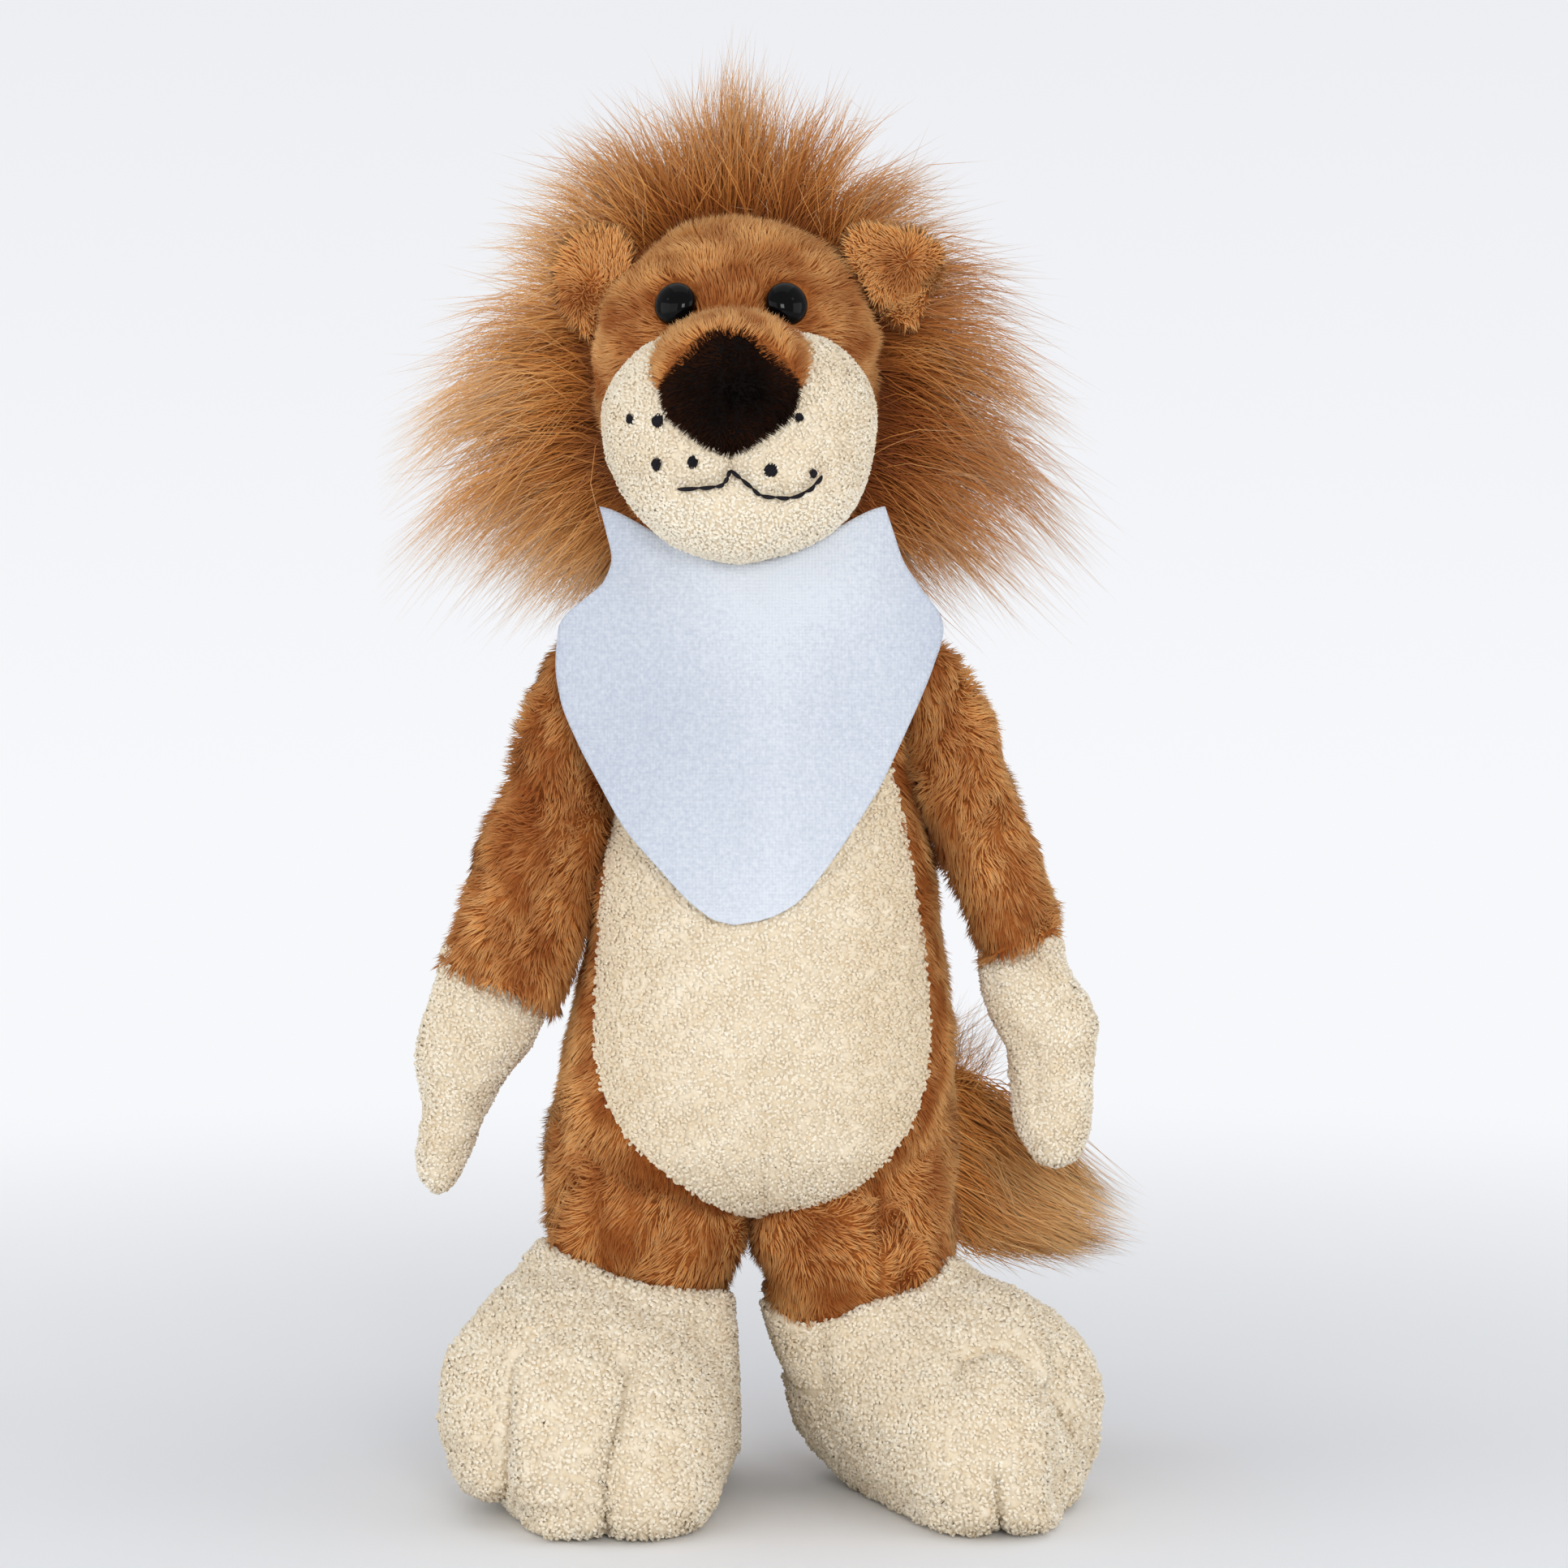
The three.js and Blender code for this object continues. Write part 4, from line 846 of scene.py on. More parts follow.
# painted light: the loops low on the muzzle, under the chin, are paler where it faces down, and their
# shading normals turn upward
low = 1 - ease(222, 238, points[keep][:, 2])
tone = np.clip(tone + 0.7 * low, 0, 1)
outward = unit(outward + (upward * 0.8 - back * 0.3) * low[:, None])
furPiece("muzzleLoops", [(paths, widths, tone, outward)], "head", fleeceLoops)

# Nose
noseSkin = roundBag(noseForm, 64, 48)


def noseShape(grid):
    # its width at each height follows the table, and a seam runs down its middle
    form = noseForm
    rise = grid[..., 2] - form["middle"][2]
    ball = np.sqrt(np.maximum(1 - (rise / form["halfHeight"]) ** 2, 0.0004))
    width = through(rise, form["rise"], form["wide"]) / (ball * form["halfWidth"])
    x = form["middle"][0] + (grid[..., 0] - form["middle"][0]) * width
    y = grid[..., 1] + form["seam"] * bump(x - form["middle"][0], 0.9) - 5 * ease(0, 12, -rise)
    return np.stack([x, y, grid[..., 2]], -1)


noseSkin = noseShape(noseSkin)
finish(bag("noseCloth", noseSkin), "head", noseCloth, ["nose"])
rng = np.random.default_rng(25)
points, normals = scatter(noseSkin, 3.2, rng)
keep = (points[:, 1] < -50) | ~inMuzzle(points, 0)
comb = -upward * 0.6 + right * np.tanh((points[:, :1] - noseForm["middle"][0]) / 4) * 0.5
points, normals, comb = points[keep], normals[keep], comb[keep]
# painted sheen: browner towards its edges
edge = np.hypot(*((points - np.array(noseForm["middle"]))[:, [0, 2]] / 12).T)
shift = 0.55 * ease(0.2, 1, edge) - 0.35
furPiece("nosePile", [combedPile(points, normals, comb, pileForms["nose"], 36, shift)], "head", nosePile)
print("face")

# Eyes
glossyBlack, tree, surface = newMaterial("glossyBlack", 0.04, 0.12)
grain = noiseAt(tree, objectPlace(tree), 300.0, 2.0)
tree.links.new(
    rampOf(tree, grain, [(0.3, shade(3, 3, 4)), (0.8, shade(7, 7, 8))]), surface.inputs["Base Color"])

headHalf = np.array([headForm["halfWidth"], headForm["halfDepth"], headForm["halfHeight"]])
for name, eyeX in eyeForm["x"].items():
    share = (np.array([eyeX, 0, eyeForm["height"]]) - np.array(headForm["middle"])) / headHalf
    share[1] = -math.sqrt(1 - share[0] ** 2 - share[2] ** 2)
    outward = unit(unit(share / headHalf) * np.array([1, 1, 0.6]))
    place = np.array(headForm["middle"]) + share * headHalf + outward * 0.6
    sideways = unit(np.cross(upward, outward))
    lift = np.cross(outward, sideways)
    # the button: a quarter ellipse turned about the way that it looks
    angle = np.linspace(0, math.pi / 2, 14)[:-1]
    radius = eyeForm["radius"] * np.concatenate([[0.96], np.cos(angle)])
    height = eyeForm["skirt"] + (eyeForm["dome"] - eyeForm["skirt"]) * np.sin(angle)
    height = np.concatenate([[-0.6], height])
    dome = rings(place + height[:, None] * outward, sideways, lift, radius, radius, radius, 2, 40)
    dome = np.concatenate([dome, np.broadcast_to(place + eyeForm["dome"] * outward, (1, 40, 3))])
    finish(bag(name.replace("_e", "E"), dome), "head", glossyBlack, [name])

# Mouth and whisker dots in embroidery thread
threadMaterial = clothMaterial("thread", shade(14, 12, 16), shade(34, 30, 36), 400.0, 3000.0, 0.0002, 0.6)


def thread(path, radius, columns=8):
    # a closed round tube along the path, thinned to its ends by the root of a half sine
    ahead = unit(np.gradient(path, axis=0))
    side = unit(np.cross(ahead, np.array([0.1, -1, 0.1])))
    other = np.cross(ahead, side)
    size = radius * np.sqrt(np.maximum(np.sin(np.linspace(0.12, math.pi - 0.12, len(path))), 0))
    return rings(path, side[:, None], other[:, None], size, size, size, 2, columns)


def threads(name, paths, radius):
    pieces = [bag(name, thread(path, radius)) for path in paths]
    bpy.ops.object.select_all(action='DESELECT')
    for piece in pieces:
        piece.select_set(True)
    bpy.context.view_layer.objects.active = pieces[0]
    bpy.ops.object.join()
    pieces[0].name = name
    return pieces[0]


for side in mouthShares:
    across, up = mouthLine(side, 60)
    path, outward = onMuzzle(across, up, 0.35)
    # stitches: the line is cut into lengths that overlap, each one bowed away from the cloth
    stitches = []
    count = 5 if side == "right" else 8
    for n in range(count):
        low, high = int(60 * n / count), min(60, int(60 * (n + 1.15) / count))
        part = path[low:high]
        rise = np.sin(np.linspace(0, math.pi, len(part)))[:, None]
        stitches.append(part + outward[low:high] * 0.45 * rise)
    name = "mouth" + side.capitalize()
    finish(threads(name, stitches, 0.5), "head", threadMaterial, ["mouth_stitch_" + side])

dots = [
    (-0.774, 0.27, 0.9, 1.6, 0.9), (-0.564, 0.246, 1.3, 1.7, 0.15), (-0.574, -0.13, 1.1, 1.7, -0.5),
    (-0.305, -0.115, 1.1, 1.6, -0.4), (0.472, 0.27, 0.9, 1.2, -0.6), (0.262, -0.185, 1.4, 1.6, -0.6),
    (0.574, -0.21, 0.8, 1.2, 0.5),
]
for n, (across, up, halfWidth, halfHeight, turn) in enumerate(dots):
    # a satin stitch: threads side by side that fill an oval knot
    place, outward = onMuzzle(across, up, 0.45)
    sideways = unit(np.cross(outward, upward))
    lift = np.cross(sideways, outward)
    along = sideways * math.sin(turn) + lift * math.cos(turn)
    aside = np.cross(along, outward)
    t = np.linspace(-1, 1, 9)[:, None]
    stitches = []
    for share in np.linspace(-0.8, 0.8, 5):
        reach = halfHeight * math.sqrt(1 - share ** 2)
        line = place + aside * share * halfWidth + along * reach * t
        stitches.append(line + outward * 0.5 * (1 - t * t))
    piece = threads(f"whiskerDot{n + 1}", stitches, halfWidth * 0.3)
    finish(piece, "head", threadMaterial, [f"whisker_dot_{n + 1}"])
print("embroidery")

# Ears: a cupped bag, its front hollow; the outline's radius goes by the angle from the
# toy's left, and a fold runs across the left ear
earForm = {"rim": 3.0}
earOutlines = {
    "right": ([0, 36, 47, 64, 100, 147, 184, 220, 254, 270, 300, 360],
              [9, 12.2, 13, 13, 11.2, 8.6, 7.4, 8, 9.8, 12, 10.4, 9]),
    "left": ([0, 24, 45, 90, 149, 194, 243, 280, 308, 335, 360],
             [10.6, 11.6, 10.8, 9.4, 14.2, 8.4, 8.6, 12.4, 9.8, 8.6, 10.6]),
}
earPlaces = {
    "right": {"centre": (-37.2, -2.5, 281.2), "turn": -0.28},
    "left": {"centre": (33.6, -2.5, 283.6), "turn": 0.3},
}


def earGrid(place, side, columns=84):
    # each ring lies on a half circle that runs from the front's middle round the rim to the
    # back's middle, all pressed into a bowl
    t = 0.5 - 0.5 * np.cos(math.pi * np.linspace(0.02, 0.98, 46))[:, None]
    angle = np.arange(columns)[None] * 2 * math.pi / columns
    outline = through(np.degrees(angle), *earOutlines[side])
    share = np.sin(math.pi * t) ** 0.6
    x, z = outline * share * np.cos(angle), outline * share * np.sin(angle)
    face = np.where(t < 0.5, -1, 1) * earForm["rim"] * np.sqrt(np.maximum(1 - share ** 2, 0))
    front = t < 0.5
    if side == "right":
        # a deep cup with a thick furry rim, its hollow nearer the head
        hollow = bump(np.hypot((x - 2.2) / 4.6, (z - 0.5) / 8.5), 1)
        y = face * 0.55 + 3.2 * hollow * front + 2.5 * (1 - share ** 2) - 1.5
    else:
        # folded over: the lower outer part comes forward along a line from the tip inward
        across = (x - 12) * 0.55 - (z - 5) * 0.83
        y = face * 0.6 + 2.6 * (1 - share ** 2) - 1.4
        y = y + front * 2.6 * bump(across - 3.0, 2.0) * share - 2.4 * ease(3.5, 9, across)
        y = y + front * 1.8 * bump(np.hypot(x - 5.5, z - 4.5), 3.2)
    c, s = math.cos(place["turn"]), math.sin(place["turn"])
    x, y = x * c - y * s, x * s + y * c
    return np.stack([x, y, z], -1) + np.array(place["centre"])


for side, place in earPlaces.items():
    skin = earGrid(place, side)
    finish(bag(side + "EarCloth", skin), "head", plushCloth,
           [side + "_ear_lining", side + "_ear_back"])
    rng = np.random.default_rng(26)
    a, normals = scatter(skin, densities["pile"] * 2.4, rng)
    keep = ~inEllipsoid(a, headForm, -1)
    a, normals = a[keep], normals[keep]
    centre = np.array(place["centre"]) + (np.array([4, 0, 4]) if side == "left" else np.array([1, 0, 1]))
    comb = unit(a - centre) * 0.9 + upward * 0.1
    furPiece(side + "EarPile", [combedPile(a, normals, comb, pileForms["ear"], 37, 0.4)],
             "head", plushPile)
print("ears")

# Mane
maneSettings = {
    "count": 33400, "shortest": 27, "longest": 57, "width": 0.125, "locks": 170, "gather": 0.3,
    "frizz": 2.6, "drop": 12, "cross": 0.3, "low": (-88, -70, 193), "high": (94, 76, 344),
}


def kept(curve, low, high):
    # a strand that would leave the box between low and high shrinks towards its root
    root = curve[:, :1]
    reach = curve - root
    most = np.where(reach > 0, high - root, root - low) / np.maximum(np.abs(reach), 1e-6)
    return root + reach * np.clip(most.min((1, 2), keepdims=True), 0.05, 1)


def maneStrands(form, seed):
    # roots lie on the head behind the mane's seam; a strand leaves along the radius from the
    # head's middle line, leans back and down the further behind it starts, and its end drops
    # by the square of its length
    rng = np.random.default_rng(seed)
    count = form["count"]
    turn = rng.uniform(-math.pi, math.pi, count)
    seam = (maneFront + 2) / headForm["halfDepth"]
    first = rng.random(count)
    rear = seam + (1 - seam) * np.where(rng.random(count) < 0.55, first ** 2.4, first) * 0.998
    ring = np.sqrt(1 - rear ** 2)
    radial = np.stack([np.sin(turn), 0 * turn, np.cos(turn)], -1)
    ball = (radial * ring[:, None] + back * rear[:, None]) * headHalf
    root = np.array(headForm["middle"]) + ball * 0.98
    neck = (root[:, 2] < 224) & (np.abs(root[:, 0]) < 15) & (root[:, 1] < 26)
    root, rear, turn, radial = root[~neck], rear[~neck], turn[~neck], radial[~neck]
    count = len(root)
    lockTurn = rng.uniform(-math.pi, math.pi, form["locks"])
    lockRear = seam + (1 - seam) * rng.random(form["locks"]) ** 1.4
    gap = np.abs((turn[:, None] - lockTurn + math.pi) % (2 * math.pi) - math.pi)
    nearest = np.argmin(gap * np.sqrt(1 - lockRear ** 2) + 0.8 * np.abs(rear[:, None] - lockRear), 1)
    lock = np.stack([np.sin(lockTurn), 0 * lockTurn, np.cos(lockTurn)], -1)[nearest]
    aim = unit(radial * (1 - form["gather"]) + lock * form["gather"])
    aim[:, 2] = np.where(aim[:, 2] < 0, aim[:, 2] * 0.62, aim[:, 2])
    fall = ease(0.25, 0.95, rear)[:, None]
    crown = ease(0.9, 1, rear)[:, None]
    lean = back * (0.04 + 0.7 * fall - 0.2 * crown) - upward * (0.5 * fall + 0.3 * crown)
    aim = unit(aim) * (1 - 0.75 * fall) + lean
    aim = unit(aim + rng.normal(0, 0.13, (form["locks"], 3))[nearest])
    stray = np.where(rng.random(count) < form["cross"], 0.3, 0.09)[:, None]
    aim = unit(aim + rng.normal(0, 1, (count, 3)) * stray)
    share = rng.random(count)
    length = form["shortest"] + (form["longest"] - form["shortest"]) * share ** 1.25
    length = length * rng.uniform(0.82, 1.14, form["locks"])[nearest] * (1 - 0.2 * fall[:, 0])
    length = length * (1 - 0.1 * np.maximum(np.cos(turn), 0))
    t = np.array([0, 0.3, 0.66, 1.0])[None, :, None]
    curve = root[:, None] + aim[:, None] * length[:, None, None] * t
    level = np.abs(np.sin(turn))[:, None, None]
    curve = curve - upward * form["drop"] * (0.5 + level) * t ** 2 * (length / 45)[:, None, None] ** 2
    curve = curve + drift(curve.reshape(-1, 3), 15, seed + 1).reshape(curve.shape) * 2.2 * t
    curl = np.sin(t * rng.uniform(3, 8, (count, 1, 1)) + rng.uniform(0, 6, (count, 1, 1)))
    frizz = curl * rng.normal(0, 0.8, (count, 1, 3)) + rng.normal(0, 1, (count, 1, 3)) * t
    curve = curve + frizz * t * form["frizz"]
    # nothing crosses the face or enters the back
    curve[..., 1] = np.maximum(curve[..., 1], 3.0 - 8 * t[..., 0])
    low = inBody(curve.reshape(-1, 3), 3).reshape(curve.shape[:2])
    curve[..., 1] = np.where(low, np.maximum(curve[..., 1], 26), curve[..., 1])
    lowest = np.array(form["low"]) + upward * 22 * np.sqrt(rng.random(count))[:, None]
    curve = kept(curve, lowest[:, None], drawingZero + np.array(form["high"]))
    width = form["width"] * np.array([1, 1, 0.6])[None] * rng.uniform(0.7, 1.3, (count, 1))
    # paler on the toy's right; painted shade darkens it beside the left of its face, and painted light
    # makes the strands rooted at the very back of the head paler
    cheekShade = bump(np.hypot((root[:, 0] - 28) / 12, (root[:, 2] - 250) / 26), 1) * (1 - fall[:, 0])
    tone = 0.5 - 0.13 * np.sin(turn) - 0.3 * cheekShade + 0.5 * ease(0.86, 1, rear)
    tone = tone + 0.2 * drift(root, 13, seed + 2, 1)[:, 0] + 0.25 * rng.normal(0, 1, count)
    skin = unit(radial * 0.7 + back * (rear[:, None] * 2.6 - 1.3) + upward * 0.15)
    return curve, width, np.clip(tone, 0, 1), skin, turn


curve, width, tone, skin, turn = maneStrands(maneSettings, 51)
part = np.floor((turn / math.pi + 1) * 2.5).astype(int)
for n, name in enumerate(["maneUnderRight", "maneRight", "maneTop", "maneLeft", "maneUnderLeft"]):
    piece = tubes(name, *(values[part == n] for values in (curve, width, tone, skin)))
    finish(piece, "head", longPile, ["mane"] if n == 2 else ())
    print(name, len(piece.data.polygons))

# Arms
for side, place in armPlaces.items():
    shoulder, wrist, tip = (np.array(place[key], float) for key in ("shoulder", "wrist", "tip"))
    wrist = wrist + (shoulder - wrist) * (0.08 if side == "right" else 0.065)
    down = wrist - shoulder
    reach = np.linalg.norm(down)
    axis = down / reach
    across = unit(np.cross(back, axis))
    # the sleeve: a rounded shoulder, a barrel that widens downward, and a hem turned in
    share = np.concatenate([-rows(14)[::-1][:-1] * 0.1, np.linspace(0, 1, 30), [1.02, 1.035, 1.03, 1.0]])
    sizes = through(share, [-0.1, -0.095, -0.07, -0.03, 0, 0.25, 0.55, 0.85, 1, 1.02, 1.035],
                    [0.05, 0.3, 0.6, 0.77, 0.84, 0.9, 0.97, 1, 1.08, 1.1, 1.04])
    sizes[-2:] = [0.8, 0.72]
    centre = shoulder + share[:, None] * down
    skin = rings(centre, across, back, sizes * place["sleeve"], sizes * place["sleeveDepth"],
                 sizes * place["sleeveDepth"], 2, 56)
    if side == "right":
        skin[..., 2] -= 0.1 * (skin[..., 0] - wrist[0]) * (np.clip(share, 0, 1) ** 3)[:, None]
    held = 1 - ease(178, 192, skin[..., 2:])
    skin = skin + (fitted(skin, *sleeveEdges[side], inset=1.6) - skin) * held
    soft = np.where(share > 1, 0, 1)[:, None]
    field = drift(skin.reshape(-1, 3), 26, 61, 1).reshape(skin.shape[:2]) * 0.9 * soft
    skin = pushed(skin, field)
    finish(bag(side + "SleeveCloth", skin), side + "_arm", plushCloth,
           [side + "_arm_cover", side + "_arm_stuffing"])
    rng = np.random.default_rng(27)
    points, normals = scatter(skin[: -2], densities["arm"], rng)
    outward = unit(points - (shoulder + ((points - shoulder) @ axis)[:, None] * axis))
    normals = normals * np.sign((normals * outward).sum(-1, keepdims=True))
    keep = ~inBody(points, -2.5)
    points, normals = points[keep], normals[keep]
    comb = axis + across * 0.15
    x, z = fromFront(points)
    if side == "right":
        patch = 0.1 - 0.5 * bump(np.hypot((x + 50 - (z - 157) * 0.3) / 9, (z - 157) / 20), 1)
    else:
        patch = 0.14 - 0.22 * bump(np.hypot((x - 60) / 8, (z - 134) / 8), 1)
    furPiece(side + "SleevePile", [combedPile(points, normals, comb, pileForms["arm"], 38, patch)],
             side + "_arm", plushPile)

    # the hand: a flat mitten whose two edges follow its tables, with the crease of its thumb
    edges = handEdges[side]
    z = edges["heights"][0] + (edges["heights"][-1] - edges["heights"][0]) * rows(76)
    low, high = (through(z, edges["heights"], edges[key]) for key in ("low", "high"))
    half = np.maximum((high - low) / 2 - 0.6, 0.3)
    middle = np.stack([(low + high) / 2, through(z, [70, 130], [tip[1], wrist[1]]), z], -1)
    cuff = ease(edges["cuff"] - 3, edges["cuff"] + 6, z)
    thick = place["handDepth"] * np.minimum(half / 10, 1) ** 0.7 * (1 - 0.35 * cuff)
    skin = rings(middle, right, back, half, thick, thick, 2.1, 64)
    skin = creased(skin, edges["creases"], 1.1)
    skin = nubs(skin, 0.3, 13)
    finish(bag(side + "HandCloth", skin), side + "_arm", fleeceCloth,
           [side + "_hand_cover"])
    points, normals = scatter(skin, densities["loops"] * 1.3, rng)
    keep = (points - wrist) @ axis > -3
    furPiece(side + "HandLoops", [loops(points[keep], normals[keep], 39, 1.05)],
             side + "_arm", fleeceLoops)
print("arms")

# Legs and feet


def footGrid(place, columns=144, count=108):
    form = footForm
    angle = math.radians(place["turn"]) * place["outward"]
    forward = np.array([math.sin(angle), -math.cos(angle), 0])
    across = np.cross(upward, forward)
    share = rows(count)
    size = {key: through(share, form["shares"], form[key]) for key in ("wide", "over", "under")}
    centre = np.array([*place["foot"], form["widest"]])
    centre = centre + (share[:, None] - 0.5) * forward * form["length"]
    grid = rings(centre, across, upward, size["wide"] * form["halfWidth"],
                 size["over"] * (place["top"] - form["widest"]),
                 size["under"] * (form["widest"] + form["sink"]), form["power"], columns)
    # the outer side stands higher than the inner
    aside = (grid - centre[:, None]) @ across * place["outward"] / form["halfWidth"]
    above = np.maximum(grid[..., 2] - form["widest"], 0)
    grid[..., 2] += above * place["tilt"] * aside
    return grid, forward


footEdges = {
    # the boots' outlines from the front: heights and places of both edges
    "right": (
        ([-16, -13.8, -9, -5.4, -3.5, -0.4, 7.5, 13.5, 23.9, 30.5, 38, 45.7, 56.7],
         [-42, -49, -56, -60, -65, -68.8, -71.8, -73.3, -73.5, -71.8, -66.5, -60.4, -49.2]),
        ([-16, -12.8, -7.7, 1.6, 10.6, 25.7, 40.1, 47.1, 57],
         [-22, -14.2, -9.3, -5.1, -2.7, -3.2, -5.7, -7.5, -14])),
    "left": (
        ([-13.5, -10.2, -2.9, 5.2, 13.9, 23.8, 34.2, 44.6, 49, 58],
         [46, 37.6, 24.3, 16.5, 10.5, 6.8, 4.4, 1.8, 1.2, 9]),
        ([-13.5, -12.8, -10.2, -2.9, 1, 9.5, 21.8, 31.1, 38.4, 44.6, 49.4, 56.3],
         [60, 66.7, 72.8, 78.3, 79.6, 82.5, 83, 80, 73.9, 65, 55.9, 46.8])),
}
footCreases = {
    # lines between the toes and along the sole's seam: across, up and depth
    "right": [
        [(-50.3, 34.5, 1.8), (-54, 31.7, 3), (-57, 28.6, 4.4), (-58.7, 21.1, 5.4), (-59.3, 13.5, 5.8),
         (-60, 4.6, 6), (-60.2, -0.4, 6), (-58.7, -5.6, 5)],
        [(-50.3, 34.5, 1.6), (-46.5, 36.3, 1.6), (-41.4, 37.2, 1.6), (-37, 35.5, 1.6), (-33.2, 32.6, 1.8),
         (-30.6, 29.7, 2.6)],
        [(-30.6, 29.7, 3), (-29.4, 26.8, 4.8), (-29.8, 18.4, 5.6), (-33.1, 7.5, 5.8), (-34.6, -1.5, 5.8),
         (-34.4, -8.9, 5.8), (-34, -15.6, 5)],
        [(-71.8, 8.7, 0.5), (-66.5, 6.6, 0.9), (-61.2, 4.6, 0.9)],
        [(-58.1, -1, 0.9), (-46.5, -3.7, 0.9), (-36.7, -5, 0.9), (-23.7, -6.2, 0.7), (-12, -5, 0.2)]],
    "left": [
        [(47.7, 20.9, 0.2), (48.3, 25.9, 3), (50.2, 30.5, 5), (55.9, 32.8, 5.2), (62, 31.7, 5.6),
         (68, 26.8, 6.4), (71.6, 21.2, 7), (74.7, 16.8, 7), (78.9, 9.5, 6), (80.8, 3.7, 3)],
        [(58, 2.5, 0.2), (58.3, -0.2, 2.6), (58.9, -5.8, 5), (59.1, -14, 5.4)],
        [(18.1, 6.6, 0.2), (25.7, -0.4, 0.7), (37.1, -5, 0.8), (48.5, -7.3, 0.8), (58.9, -8.1, 0.8),
         (69.4, -6.6, 0.8), (77, -2.1, 0.3)]],
}


hems = {
    # the legs' hems on the plane of fromFront: places and heights
    "right": ([-49.2, -45, -38, -31.3, -25.6, -19.9, -12.3, -6.8],
              [58.2, 54.8, 51.7, 48.6, 46.9, 45.9, 45.1, 44.9]),
    "left": ([1.9, 5.5, 9.5, 13.5, 20.7, 27.4, 32.3, 37.6, 43.7, 45.6],
             [44.6, 39.6, 37.8, 37.4, 38.8, 42.1, 43.6, 45.1, 48.8, 53.2]),
}


def aboveHem(points, side):
    x, z = fromFront(points)
    front = z - through(np.clip(x, hems[side][0][0], hems[side][0][-1]), *hems[side])
    # behind the leg the hem is level
    return front + (points[..., 2] - 50 - front) * ease(2, 14, points[..., 1] - hipForm["y"])


def footDetail(grid, place, side, forward):
    # the outer toe stands back and the middle one swells before the outline and the creases
    # are given
    ahead = (grid - np.array([*place["foot"], 0])) @ forward / footForm["length"] + 0.5
    x, z = fromFront(grid)
    if side == "right":
        outer, middle = 1 - ease(-66, -55, x), bump((x + 44) / 11, 1)
    else:
        outer, middle = ease(66, 78, x), bump((x - 62) / 10, 1)
    front = ease(0.55, 0.9, ahead)
    grid = grid - forward * (7.5 * outer * front)[..., None]
    grid = pushed(grid, 1.4 * middle * bump((z - 14) / 17, 1) * front)
    grid = fitted(grid, *footEdges[side])
    # round the leg the boot climbs to the hem
    gap = np.hypot((grid[..., 0] - place["x"]) / 23.5, (grid[..., 1] - hipForm["y"]) / 24)
    climb = np.maximum(-0.6 - aboveHem(grid, side), 0) * ease(1.3, 0.95, gap) * ease(16, 34, grid[..., 2])
    grid = grid + upward * climb[..., None]
    low = 1 - ease(8, 44, grid[..., 2])
    grid = grid - back * (6.5 * ease(-25, -56, grid[..., 1]) * low)[..., None]
    return creased(grid, footCreases[side], 1.0)


def nearCrease(points, side, gap):
    x, z = fromFront(points)
    found = np.zeros(len(points), bool)
    for line in footCreases[side]:
        places = finely(line)
        places = places[places[:, 2] > footForm["deepCrease"]]
        if len(places):
            found |= np.hypot(x[:, None] - places[:, 0], z[:, None] - places[:, 1]).min(1) < gap
    return found & (points[:, 1] < -8)


def inward(grid, place):
    # the legs' inner sides draw apart below the crotch
    inner = -place["outward"] * (grid[..., 0] - place["x"])
    amount = place["inward"] * ease(0, 20, inner) * ease(-62, -46, -grid[..., 2])
    return grid[..., 0] + place["outward"] * amount


